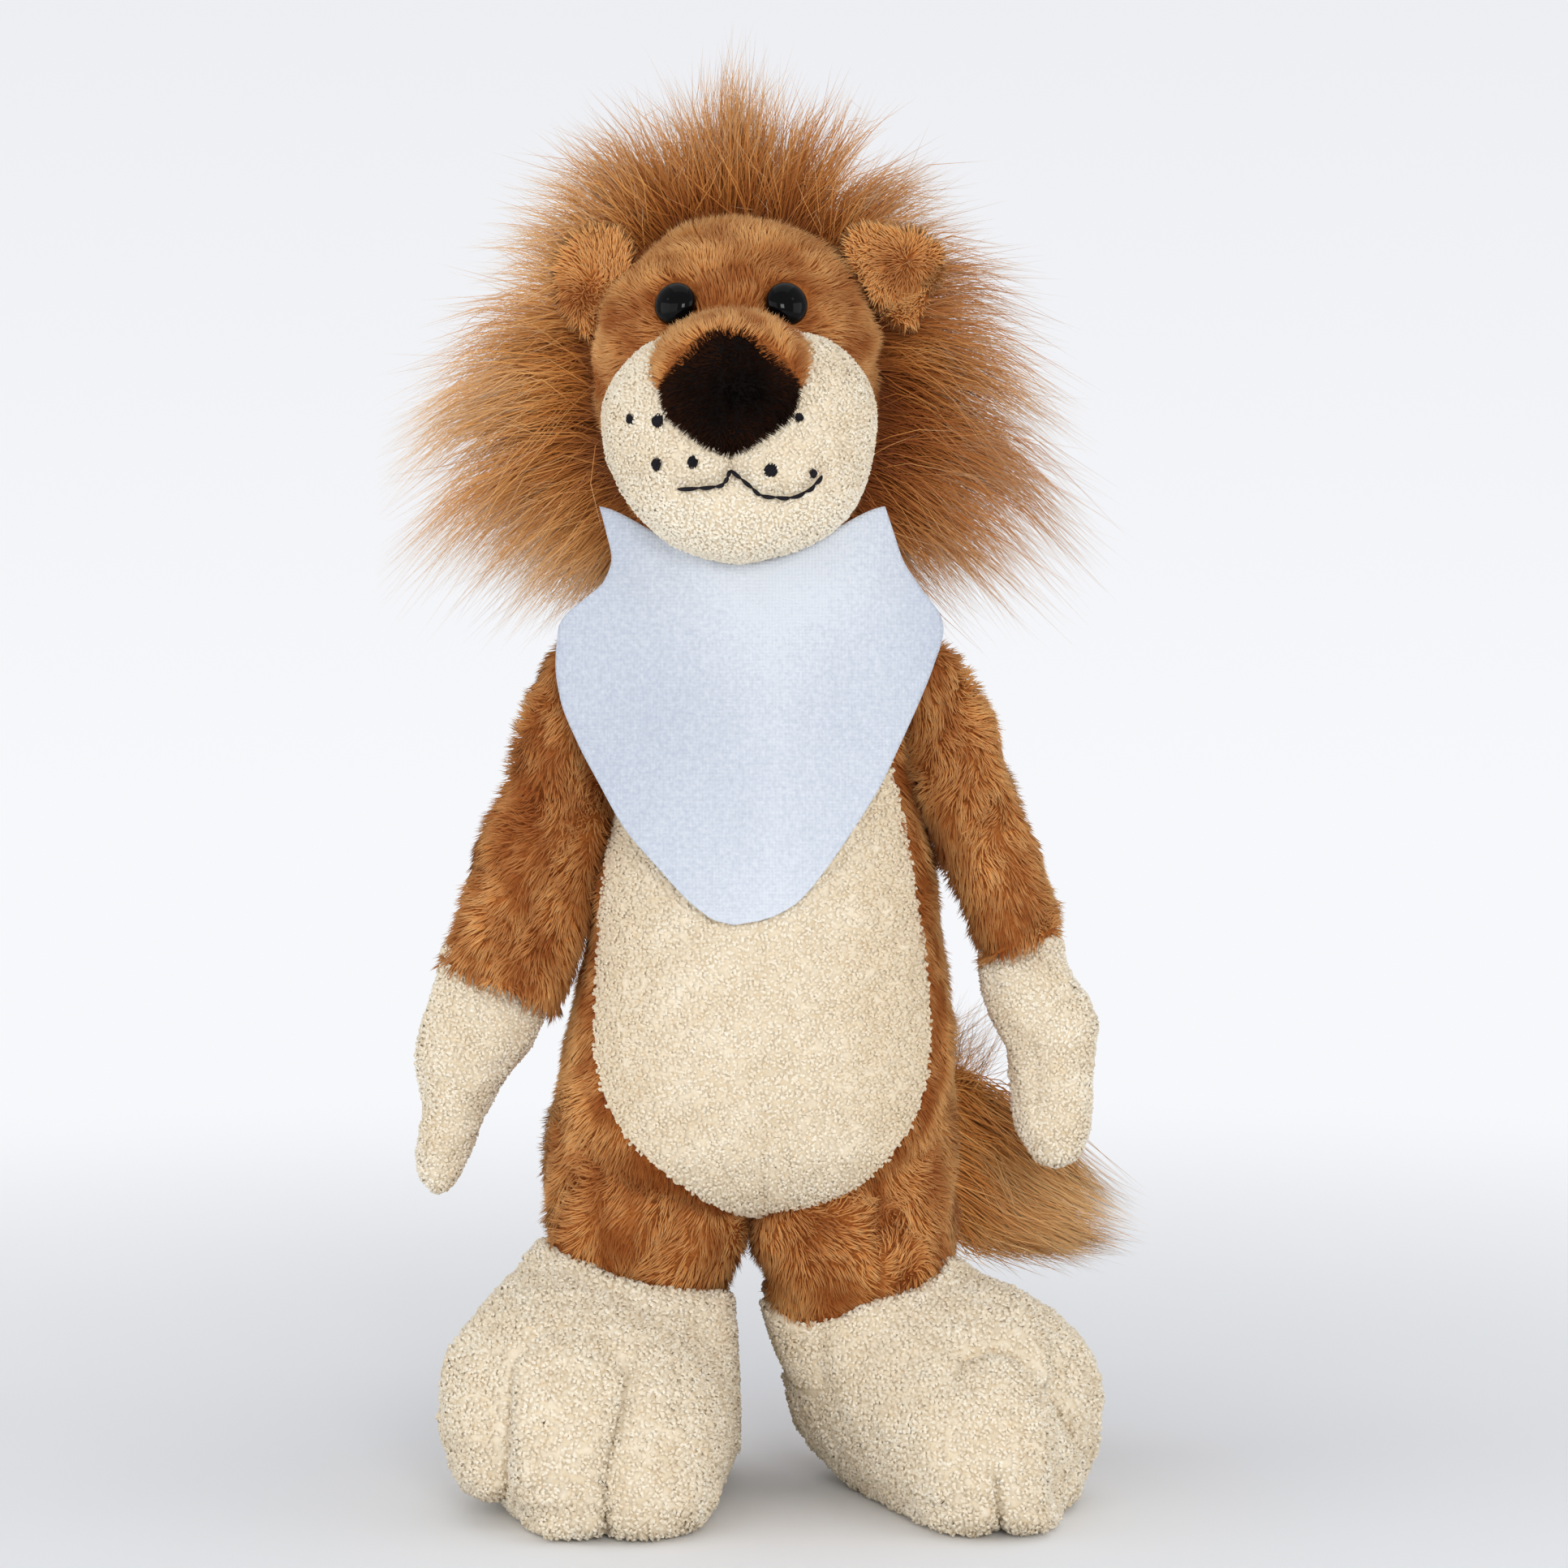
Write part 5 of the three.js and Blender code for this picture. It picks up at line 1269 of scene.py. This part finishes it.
shaftForm = {
    "top": 62, "bottom": 18, "rows": 44, "halfWidth": 22.2, "halfDepth": 22.6,
    "heights": [18, 28, 34, 40, 45, 50, 62], "right": [-17, -11, -8, -6.4, -5.8, -5.4, -3.5],
    "left": [15, 8.5, 5.8, 3.8, 2.6, 2.0, 1.4],
}
soleForm = {
    "halfWidth": 13, "halfLength": 26, "outward": 5, "behind": 2, "height": 1.4, "rings": 16, "columns": 64,
}
for side, place in legPlaces.items():
    body = side + "_leg"
    # the leg: the hip's rounded drum above and a barrel down into the boot
    z = legForm["top"] - rows(60) * legForm["length"]
    above = np.maximum(z - hipForm["z"], 0) / hipForm["radius"]
    roundTop = np.maximum(np.sqrt(np.maximum(1 - above ** 2, 0)), 0.05)
    deep = through(z, legForm["heights"], legForm["deep"]) * roundTop
    wide = through(z, legForm["heights"], legForm["wide"]) * roundTop ** 0.6
    hip = np.array([place["x"], hipForm["y"], 0])
    centre = hip + z[:, None] * upward
    skin = rings(centre, right, back, wide, deep, deep, legForm["power"], 72)
    skin[..., 0] = inward(skin, place)
    # the barrel's front carries a seam that pulls the pile in
    seam = bump(skin[..., 0] - place["x"] - place["seam"], 1.3) * (skin[..., 1] < 0)
    swell = drift(skin.reshape(-1, 3), 24, 62, 1).reshape(skin.shape[:2]) * 0.7
    skin = pushed(skin, -1.1 * seam * (z < 84)[:, None] + swell)
    finish(bag(side + "LegCloth", skin), body, plushCloth,
           [side + "_leg_cover", side + "_leg_stuffing"])
    rng = np.random.default_rng(28)
    points, normals = scatter(skin, densities["pile"], rng)
    keep = aboveHem(points, side) > 1.6 + 0.8 * drift(points, 5, 63, 1)[:, 0]
    keep &= ~(inBody(points, -4) & (points[:, 2] > 74))
    points, normals = points[keep], normals[keep]
    comb = -upward * 0.7 + right * 0.6 * place["outward"]
    seam = bump(points[:, 0] - place["x"] - place["seam"], place["seamWidth"]) * (points[:, 1] < 0)
    shift = 0.1 - 0.45 * seam
    fibres = combedPile(points, normals, comb, pileForms["legs"], 40 + len(side), shift)
    furPiece(side + "LegPile", [fibres], body, plushPile)

    grid, forward = footGrid(place)
    skin = footDetail(grid, place, side, forward)
    skin[..., 2] = np.maximum(skin[..., 2], 0.5)
    skin = nubs(skin, 0.3, 14)
    skin[..., 2] = np.maximum(skin[..., 2], 0.3)
    finish(bag(side + "FootCloth", skin), body, fleeceCloth,
           [side + "_foot_cover", side + "_foot_stuffing", side + "_pellet_bag"])
    points, normals = scatter(skin, densities["loops"] * 0.84, rng)
    gap = np.hypot((points[:, 0] - place["x"]) / 23.4, (points[:, 1] - hipForm["y"]) / 24)
    keep = (points[:, 2] > 1.2) & ~((gap < 0.9) & (points[:, 2] > 25))
    keep &= ~((gap < 1.15) & (aboveHem(points, side) > -0.4)) & ~nearCrease(points, side, 0.6)
    points, normals = points[keep], normals[keep]
    paths, widths, tone, outward = loops(points, normals, 42 + len(side), 1.15)
    paths[..., 2] = np.maximum(paths[..., 2], 0.4)
    furPiece(side + "FootLoops", [(paths, widths, tone, outward)], body, fleeceLoops)
    print(body, len(points))

    # the boot's shaft: it follows the leg from under the hem and dives into the foot
    z = np.linspace(shaftForm["top"], shaftForm["bottom"], shaftForm["rows"])
    wide, deep = (np.full(len(z), shaftForm[key]) for key in ("halfWidth", "halfDepth"))
    grid = rings(hip + z[:, None] * upward, right, back, wide, deep, deep, legForm["power"], 90)
    edge = through(z, shaftForm["heights"], shaftForm[side])
    inner = -place["outward"] * (grid[..., 0] - place["x"])
    share = np.where(inner > 0, np.abs(edge - place["x"])[:, None] / shaftForm["halfWidth"], 1)
    grid[..., 0] = place["x"] + (grid[..., 0] - place["x"]) * share
    # above the hem it stays inside the leg
    middle = hip + grid * upward
    grid = grid + (middle - grid) * (0.16 * ease(-0.6, 1.4, aboveHem(grid, side)))[..., None]
    finish(bag(side + "Shaft", nubs(grid, 0.3, 15)), body, fleeceCloth)
    points, normals = scatter(grid, densities["loops"], rng)
    keep = (points[:, 2] > 26) & (aboveHem(points, side) < -0.5)
    furPiece(side + "ShaftLoops", [loops(points[keep], normals[keep], 47, 1.15)], body, fleeceLoops)

    # the sole: an oval panel let into the underside
    count, columns = soleForm["rings"], soleForm["columns"]
    angle = np.arange(columns) * 2 * math.pi / columns
    turn = math.radians(place["turn"]) * place["outward"]
    x = soleForm["halfWidth"] * np.cos(angle) + soleForm["outward"] * place["outward"]
    y = soleForm["halfLength"] * np.sin(angle) + soleForm["behind"]
    c, s = math.cos(turn), math.sin(turn)
    oval = np.stack([x * c - y * s, x * s + y * c], -1)
    ring = np.linspace(0.04, 1, count)
    plan = np.array(place["foot"]) + oval * np.concatenate([ring, ring[::-1]])[:, None, None]
    # flat below, with a rim that turns up by the 24th power, and flat above
    height = np.concatenate([0.02 + 0.5 * ring ** 24, np.full(count, soleForm["height"])])
    height = np.broadcast_to(height[:, None, None], (2 * count, columns, 1))
    sole = bag(side + "Sole", np.concatenate([plan, height], -1))
    finish(sole, body, fleeceCloth, [side + "_sole_panel"])
print("legs")

# Tail
tailForm = {
    "points": [(8, 42.4, 86), (19, 49.5, 83), (41, 51, 75)], "radius": 5.6,
    "count": 4200, "locks": 84, "width": 0.17, "low": (-94, -70, 30), "high": (92, 76, 343),
}
t = np.linspace(-0.12, 1, 40)
corners = np.array(tailForm["points"], float)
path = np.stack([through(np.clip(t, 0, 1), [0, 0.37, 1], corners[:, n]) for n in range(3)], -1)
path[t < 0] += np.array([-2.5, -3, 0.5]) * (-t[t < 0, None] / 0.12)
ahead = unit(np.gradient(path, axis=0))
side = unit(np.cross(ahead, upward))
lift = np.cross(side, ahead)
endRound = np.sqrt(np.clip(1 - np.maximum((t - 0.85) / 0.16, 0) ** 2, 0.01, 1))
thick = tailForm["radius"] * endRound * ease(-0.2, 0, t) ** 0.5
skin = rings(path, side[:, None], lift[:, None], thick, thick, thick, 2, 28)
finish(bag("tailCloth", skin), "tail", plushCloth, ["tail_cover", "tail_stuffing"])
rng = np.random.default_rng(29)
points, normals = scatter(skin, densities["pile"], rng)
line = path[np.argmin(((points[:, None] - path[None]) ** 2).sum(-1), 1)]
normals = unit(points - line)
furPiece("tailPile", [combedPile(points, normals, right, pileForms["short"], 44)], "tail", plushPile)


def tuftStrands(form, seed):
    # a strand bends from the tube over a ring of middle places to an end low on its outer
    # side, a quadratic curve; one in eighteen is a fine one that rises instead
    rng = np.random.default_rng(seed)
    count = form["count"]
    start = rng.random(count) ** 0.8
    angle = rng.uniform(0, 2 * math.pi, count)
    base = corners[1] + (corners[2] - corners[1]) * (0.15 + 0.9 * start[:, None])
    around = np.stack([0 * angle, np.cos(angle), np.sin(angle)], -1)
    root = base + around * 4.8
    wide = np.sqrt(rng.random(count))[:, None]
    turn = root + np.array([15, 0, -2]) + around * wide * np.array([0, 15, 26])
    turn = turn + rng.normal(0, 3, (count, 3))
    # the ends gather in locks, by their place round the tube
    locks = form["locks"]
    lock = (angle / (2 * math.pi) * 12).astype(int) * (locks // 12) + rng.integers(0, locks // 12, count)
    reach = 60 + 30 * rng.random(locks) ** 0.8
    spread = 0.35 + 0.65 * (90 - reach) / 30
    middle = (np.arange(locks) // (locks // 12) + 0.5) * math.pi / 6
    end = np.stack([
        reach, 50 + 13 * np.cos(middle) * spread, 56 + 13 * np.sin(middle) * spread - 0.08 * (reach - 60),
    ], -1)[lock] + rng.normal(0, 1, (count, 3)) * np.array([4, 2, 1.6])
    rising = rng.random(count) < 1 / 18
    high = np.stack([50 + 16 * rng.random(count), 50 + 0 * angle, 92 + 20 * rng.random(count)], -1)
    turn = np.where(rising[:, None], root + np.array([14, 0, 10]) + rng.normal(0, 4, (count, 3)), turn)
    end = np.where(rising[:, None], high, end)
    t = np.linspace(0, 1, 5)[None, :, None] ** 0.9
    curve = root[:, None] * (1 - t) ** 2 + 2 * turn[:, None] * t * (1 - t) + end[:, None] * t * t
    curve = curve + rng.normal(0, 1, (count, 1, 3)) * 1.6 * t ** 2
    curve = curve + drift(curve.reshape(-1, 3), 15, seed + 1).reshape(curve.shape) * 2.2 * t
    curve = np.clip(curve, drawingZero + np.array(form["low"]), drawingZero + np.array(form["high"]))
    width = form["width"] * np.array([1, 1, 0.9, 0.6])[None] * rng.uniform(0.75, 1.25, (count, 1))
    width = width * np.where(rising, 0.5, 1)[:, None]
    # painted light: the tones start high, lifting the tuft out of the shade behind the body
    tone = 0.55 + 0.3 * rng.normal(0, 1, locks)[lock] + 0.2 * rng.normal(0, 1, count)
    return curve, width, np.clip(tone + rising, 0, 1), unit(around + upward * 0.4)


finish(tubes("tailTuft", *tuftStrands(tailForm, 71)), "tail", tuftPile, ["tail_tuft"])
print("tail")

# Neckerchief
bibForm = {
    "heights": [134.8, 136, 138, 140, 147, 156.3, 166, 175, 185, 193, 201, 204, 208, 212, 217, 223, 229],
    "rightEdge": [-3.6, -8.2, -11, -13.5, -20, -28.1, -33.8, -38.8, -43, -44.2, -43.6, -42.2, -37.6, -33,
                  -31.4, -32.6, -34.2],
    "leftEdge": [-3.2, 3.4, 8, 11, 17, 23.5, 29.6, 34, 38.6, 41.8, 44, 43.4, 40.6, 37.6, 34.6, 32.6,
                 30.6],
    "depth": 42, "cloth": 1.2,
    "down": [0, 0.06, 0.14, 0.22, 0.3, 0.38, 0.46, 0.58, 0.7, 0.82, 0.92, 1],
    "over": [0.735, 0.745, 0.76, 0.775, 0.8, 0.83, 0.87, 0.92, 0.965, 0.99, 1, 1],
    "bow": [0.46, 0.43, 0.36, 0.25, 0.25, 0.28, 0.3, 0.26, 0.2, 0.12, 0.05, 0],
    "sag": [0.135, 0.125, 0.11, 0.09, 0.07, 0.06, 0.05, 0.045, 0.04, 0.03, 0.015, 0],
}


def bibGrid(form, count=96, columns=84):
    # rows from the upper corners to the tip, straight across between the two edges; a row
    # sags and bows back by its own shares of one less s squared and of s squared
    down = np.linspace(0, 1, count)[:, None] ** 0.94
    s = np.linspace(-1, 1, columns)[None]
    top, tip = form["heights"][-1], form["heights"][0]
    end = top - (top - tip) * down
    low, high = (through(end, form["heights"], form[key]) for key in ("rightEdge", "leftEdge"))
    sag, over, bow = (through(down, form["down"], form[key]) for key in ("sag", "over", "bow"))
    x = (low + high) / 2 + (high - low) / 2 * s
    z = end - (top - tip) * sag * (1 - s * s) ** 1.6
    y = -form["depth"] * (over - bow * (x / 45) ** 2)
    folds = 0.9 * np.sin(s * 5 + down * 3) * bump(down - 0.2, 0.25)
    folds = folds + 0.5 * np.sin(s * 9 - down * 6) * (1 - down)
    return np.stack([x, y + folds * (1 - s ** 6), z], -1)


kerchief, tree, surface = newMaterial("kerchiefCloth", 0.9, 0.2, sheen=0.2)
place = objectPlace(tree)
total = mathOf(tree, 'ADD', noiseAt(tree, place, 1100.0, 4.0), noiseAt(tree, place, 16.0, 1.0))
# painted shade: darker towards its sides, paler down its middle
sideways = addNode(tree, "ShaderNodeSeparateXYZ", {0: place}).outputs["X"]
aside = mathOf(tree, 'MULTIPLY', mathOf(tree, 'ABSOLUTE', sideways), 12.0)
total = mathOf(tree, 'SUBTRACT', total, aside)
stops = [(0.45, shade(190, 197, 211)), (1.25, shade(219, 224, 232))]
tree.links.new(rampOf(tree, total, stops), surface.inputs["Base Color"])
# the weave: a wave across times a wave upward
waves = {"Vector": place, "Scale": 420.0, "Distortion": 1.5, "Detail": 1.0}
warp, weft = (addNode(tree, "ShaderNodeTexWave", waves, bands_direction=way) for way in "XZ")
weave = mathOf(tree, 'MULTIPLY', warp.outputs["Fac"], weft.outputs["Fac"])
lift = addNode(tree, "ShaderNodeBump", {"Strength": 0.6, "Distance": 0.0002, "Height": weave})
tree.links.new(lift.outputs["Normal"], surface.inputs["Normal"])

bib = finish(sheetMesh("kerchief", bibGrid(bibForm), bibForm["cloth"]), "torso", kerchief, ["bib"])
# the band: a soft roll round the neck, under the mane
bandForm = {
    "halfWidth": 19.5, "halfDepth": 20.5, "y": -2.5, "z": 209.3, "thick": 3.2, "tall": 2.2,
    "around": 72, "columns": 14,
}
angle = np.linspace(0, 2 * math.pi, bandForm["around"] + 1)[:-1]
outward = unit(np.stack([np.cos(angle), np.sin(angle), 0 * angle], -1))
middle = outward * np.array([bandForm["halfWidth"], bandForm["halfDepth"], 0])
middle = middle + np.array([0, bandForm["y"], bandForm["z"]])
tube = np.arange(bandForm["columns"])[None, :, None] * 2 * math.pi / bandForm["columns"]
grid = middle[:, None] + outward[:, None] * np.cos(tube) * bandForm["thick"]
grid = grid + upward * np.sin(tube) * bandForm["tall"]
# its last row joins its first
quads = quadsOf(bandForm["around"] + 1, bandForm["columns"]) % (bandForm["around"] * bandForm["columns"])
quads = np.roll(quads, -1, 1)
band = finish(putMesh("kerchiefBand", grid.reshape(-1, 3), quads), "torso", kerchief, ["bib_neckband"])
print("kerchief")

# The washers stay as the frame has them, in milky plastic
washerPlastic = clothMaterial(
    "washerPlastic", shade(214, 211, 203), shade(232, 230, 222), 60.0, 500.0, 0.0001, 0.45)
for name in ("right_eye_washer", "left_eye_washer"):
    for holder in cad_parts[name].material_slots:
        holder.material = washerPlastic

# Floor, backdrop and lamps
sweepForm = {"half": 5.0, "front": -1.6, "bend": 0.9, "radius": 0.5, "height": 2.4}
curveX = np.linspace(-sweepForm["half"], sweepForm["half"], 24)
arc = np.linspace(0, math.pi / 2, 24)
profile = np.concatenate([
    np.stack([np.linspace(sweepForm["front"], sweepForm["bend"], 20)[:-1], np.zeros(19)], -1),
    np.stack([sweepForm["bend"] + sweepForm["radius"] * np.sin(arc),
              sweepForm["radius"] * (1 - np.cos(arc))], -1),
    [[sweepForm["bend"] + sweepForm["radius"], sweepForm["height"]]],
])
grid = np.stack(np.broadcast_arrays(
    curveX[None], profile[:, :1], profile[:, 1:]), -1) * 1000 + drawingZero
sweep = putMesh("sweep", grid.reshape(-1, 3), quadsOf(*grid.shape[:2], wraps=False))
paper, tree, surface = newMaterial("paper", 0.9, 0.1)
place = objectPlace(tree)
tree.links.new(rampOf(tree, noiseAt(tree, place, 3.0, 2.0), [
    (0.3, shade(236, 237, 239)), (0.7, shade(241, 242, 244))]), surface.inputs["Base Color"])
# far from the toy the camera sees the paper at an even brightness, paler low down
split = addNode(tree, "ShaderNodeSeparateXYZ", {0: place})
height = addNode(tree, "ShaderNodeMapRange", {
    "Value": split.outputs["Z"], "From Min": 0.1, "From Max": 0.6})
glow = addNode(tree, "ShaderNodeEmission", {
    "Color": rampOf(tree, height.outputs[0], [(0.0, shade(247, 248, 251)), (1.0, shade(236, 237, 241))])})
flat = addNode(tree, "ShaderNodeCombineXYZ", {0: split.outputs["X"], 1: split.outputs["Y"]})
away = addNode(tree, "ShaderNodeVectorMath", {0: flat.outputs[0]}, operation='LENGTH')
far = addNode(tree, "ShaderNodeMapRange", {
    "Value": away.outputs["Value"], "From Min": 0.05, "From Max": 0.8}, interpolation_type='SMOOTHSTEP')
cameraRay = addNode(tree, "ShaderNodeLightPath").outputs["Is Camera Ray"]
share = mathOf(tree, 'MULTIPLY', far.outputs[0], cameraRay)
mix = addNode(tree, "ShaderNodeMixShader", {0: share, 1: surface.outputs[0], 2: glow.outputs[0]})
# from behind it is clear, so that a camera outside it sees the toy
clear = addNode(tree, "ShaderNodeMixShader", {
    0: addNode(tree, "ShaderNodeNewGeometry").outputs["Backfacing"], 1: mix.outputs[0],
    2: addNode(tree, "ShaderNodeBsdfTransparent").outputs[0]})
tree.links.new(clear.outputs[0], tree.nodes["Material Output"].inputs["Surface"])
sweep.data.materials.append(paper)

world = bpy.data.worlds.new("studio")
scene.world = world
world.use_nodes = True
tree = world.node_tree
air = tree.nodes["Background"]
air.inputs["Color"].default_value = (0.95, 0.97, 1.0, 1)
air.inputs["Strength"].default_value = 0.62
seen = addNode(tree, "ShaderNodeBackground", {"Color": shade(247, 248, 251), "Strength": 1.0})
pick = addNode(tree, "ShaderNodeMixShader", {
    0: addNode(tree, "ShaderNodeLightPath").outputs["Is Camera Ray"],
    1: air.outputs[0], 2: seen.outputs[0]})
tree.links.new(pick.outputs[0], tree.nodes["World Output"].inputs["Surface"])

lamps = [
    ("key", (0.18, -1.2, 0.42), 0.32, 4.2), ("fill", (-0.7, -1.0, 0.3), 0.7, 1.6),
    ("top", (0.0, 0.1, 1.3), 1.2, 2.2),
    ("rightSide", (-1.1, -0.4, 0.25), 0.8, 2.6), ("leftSide", (1.1, -0.4, 0.25), 0.8, 3.0),
]
for name, place, size, power in lamps:
    lamp = bpy.data.objects.new(name, bpy.data.lights.new(name, 'AREA'))
    lamp.data.size = size
    lamp.data.energy = power
    lamp.location = place
    aim = np.array([0, 0, 0.16]) - np.array(place)
    lamp.rotation_euler = Vector(aim).to_track_quat('-Z', 'Y').to_euler()
    scene.collection.objects.link(lamp)
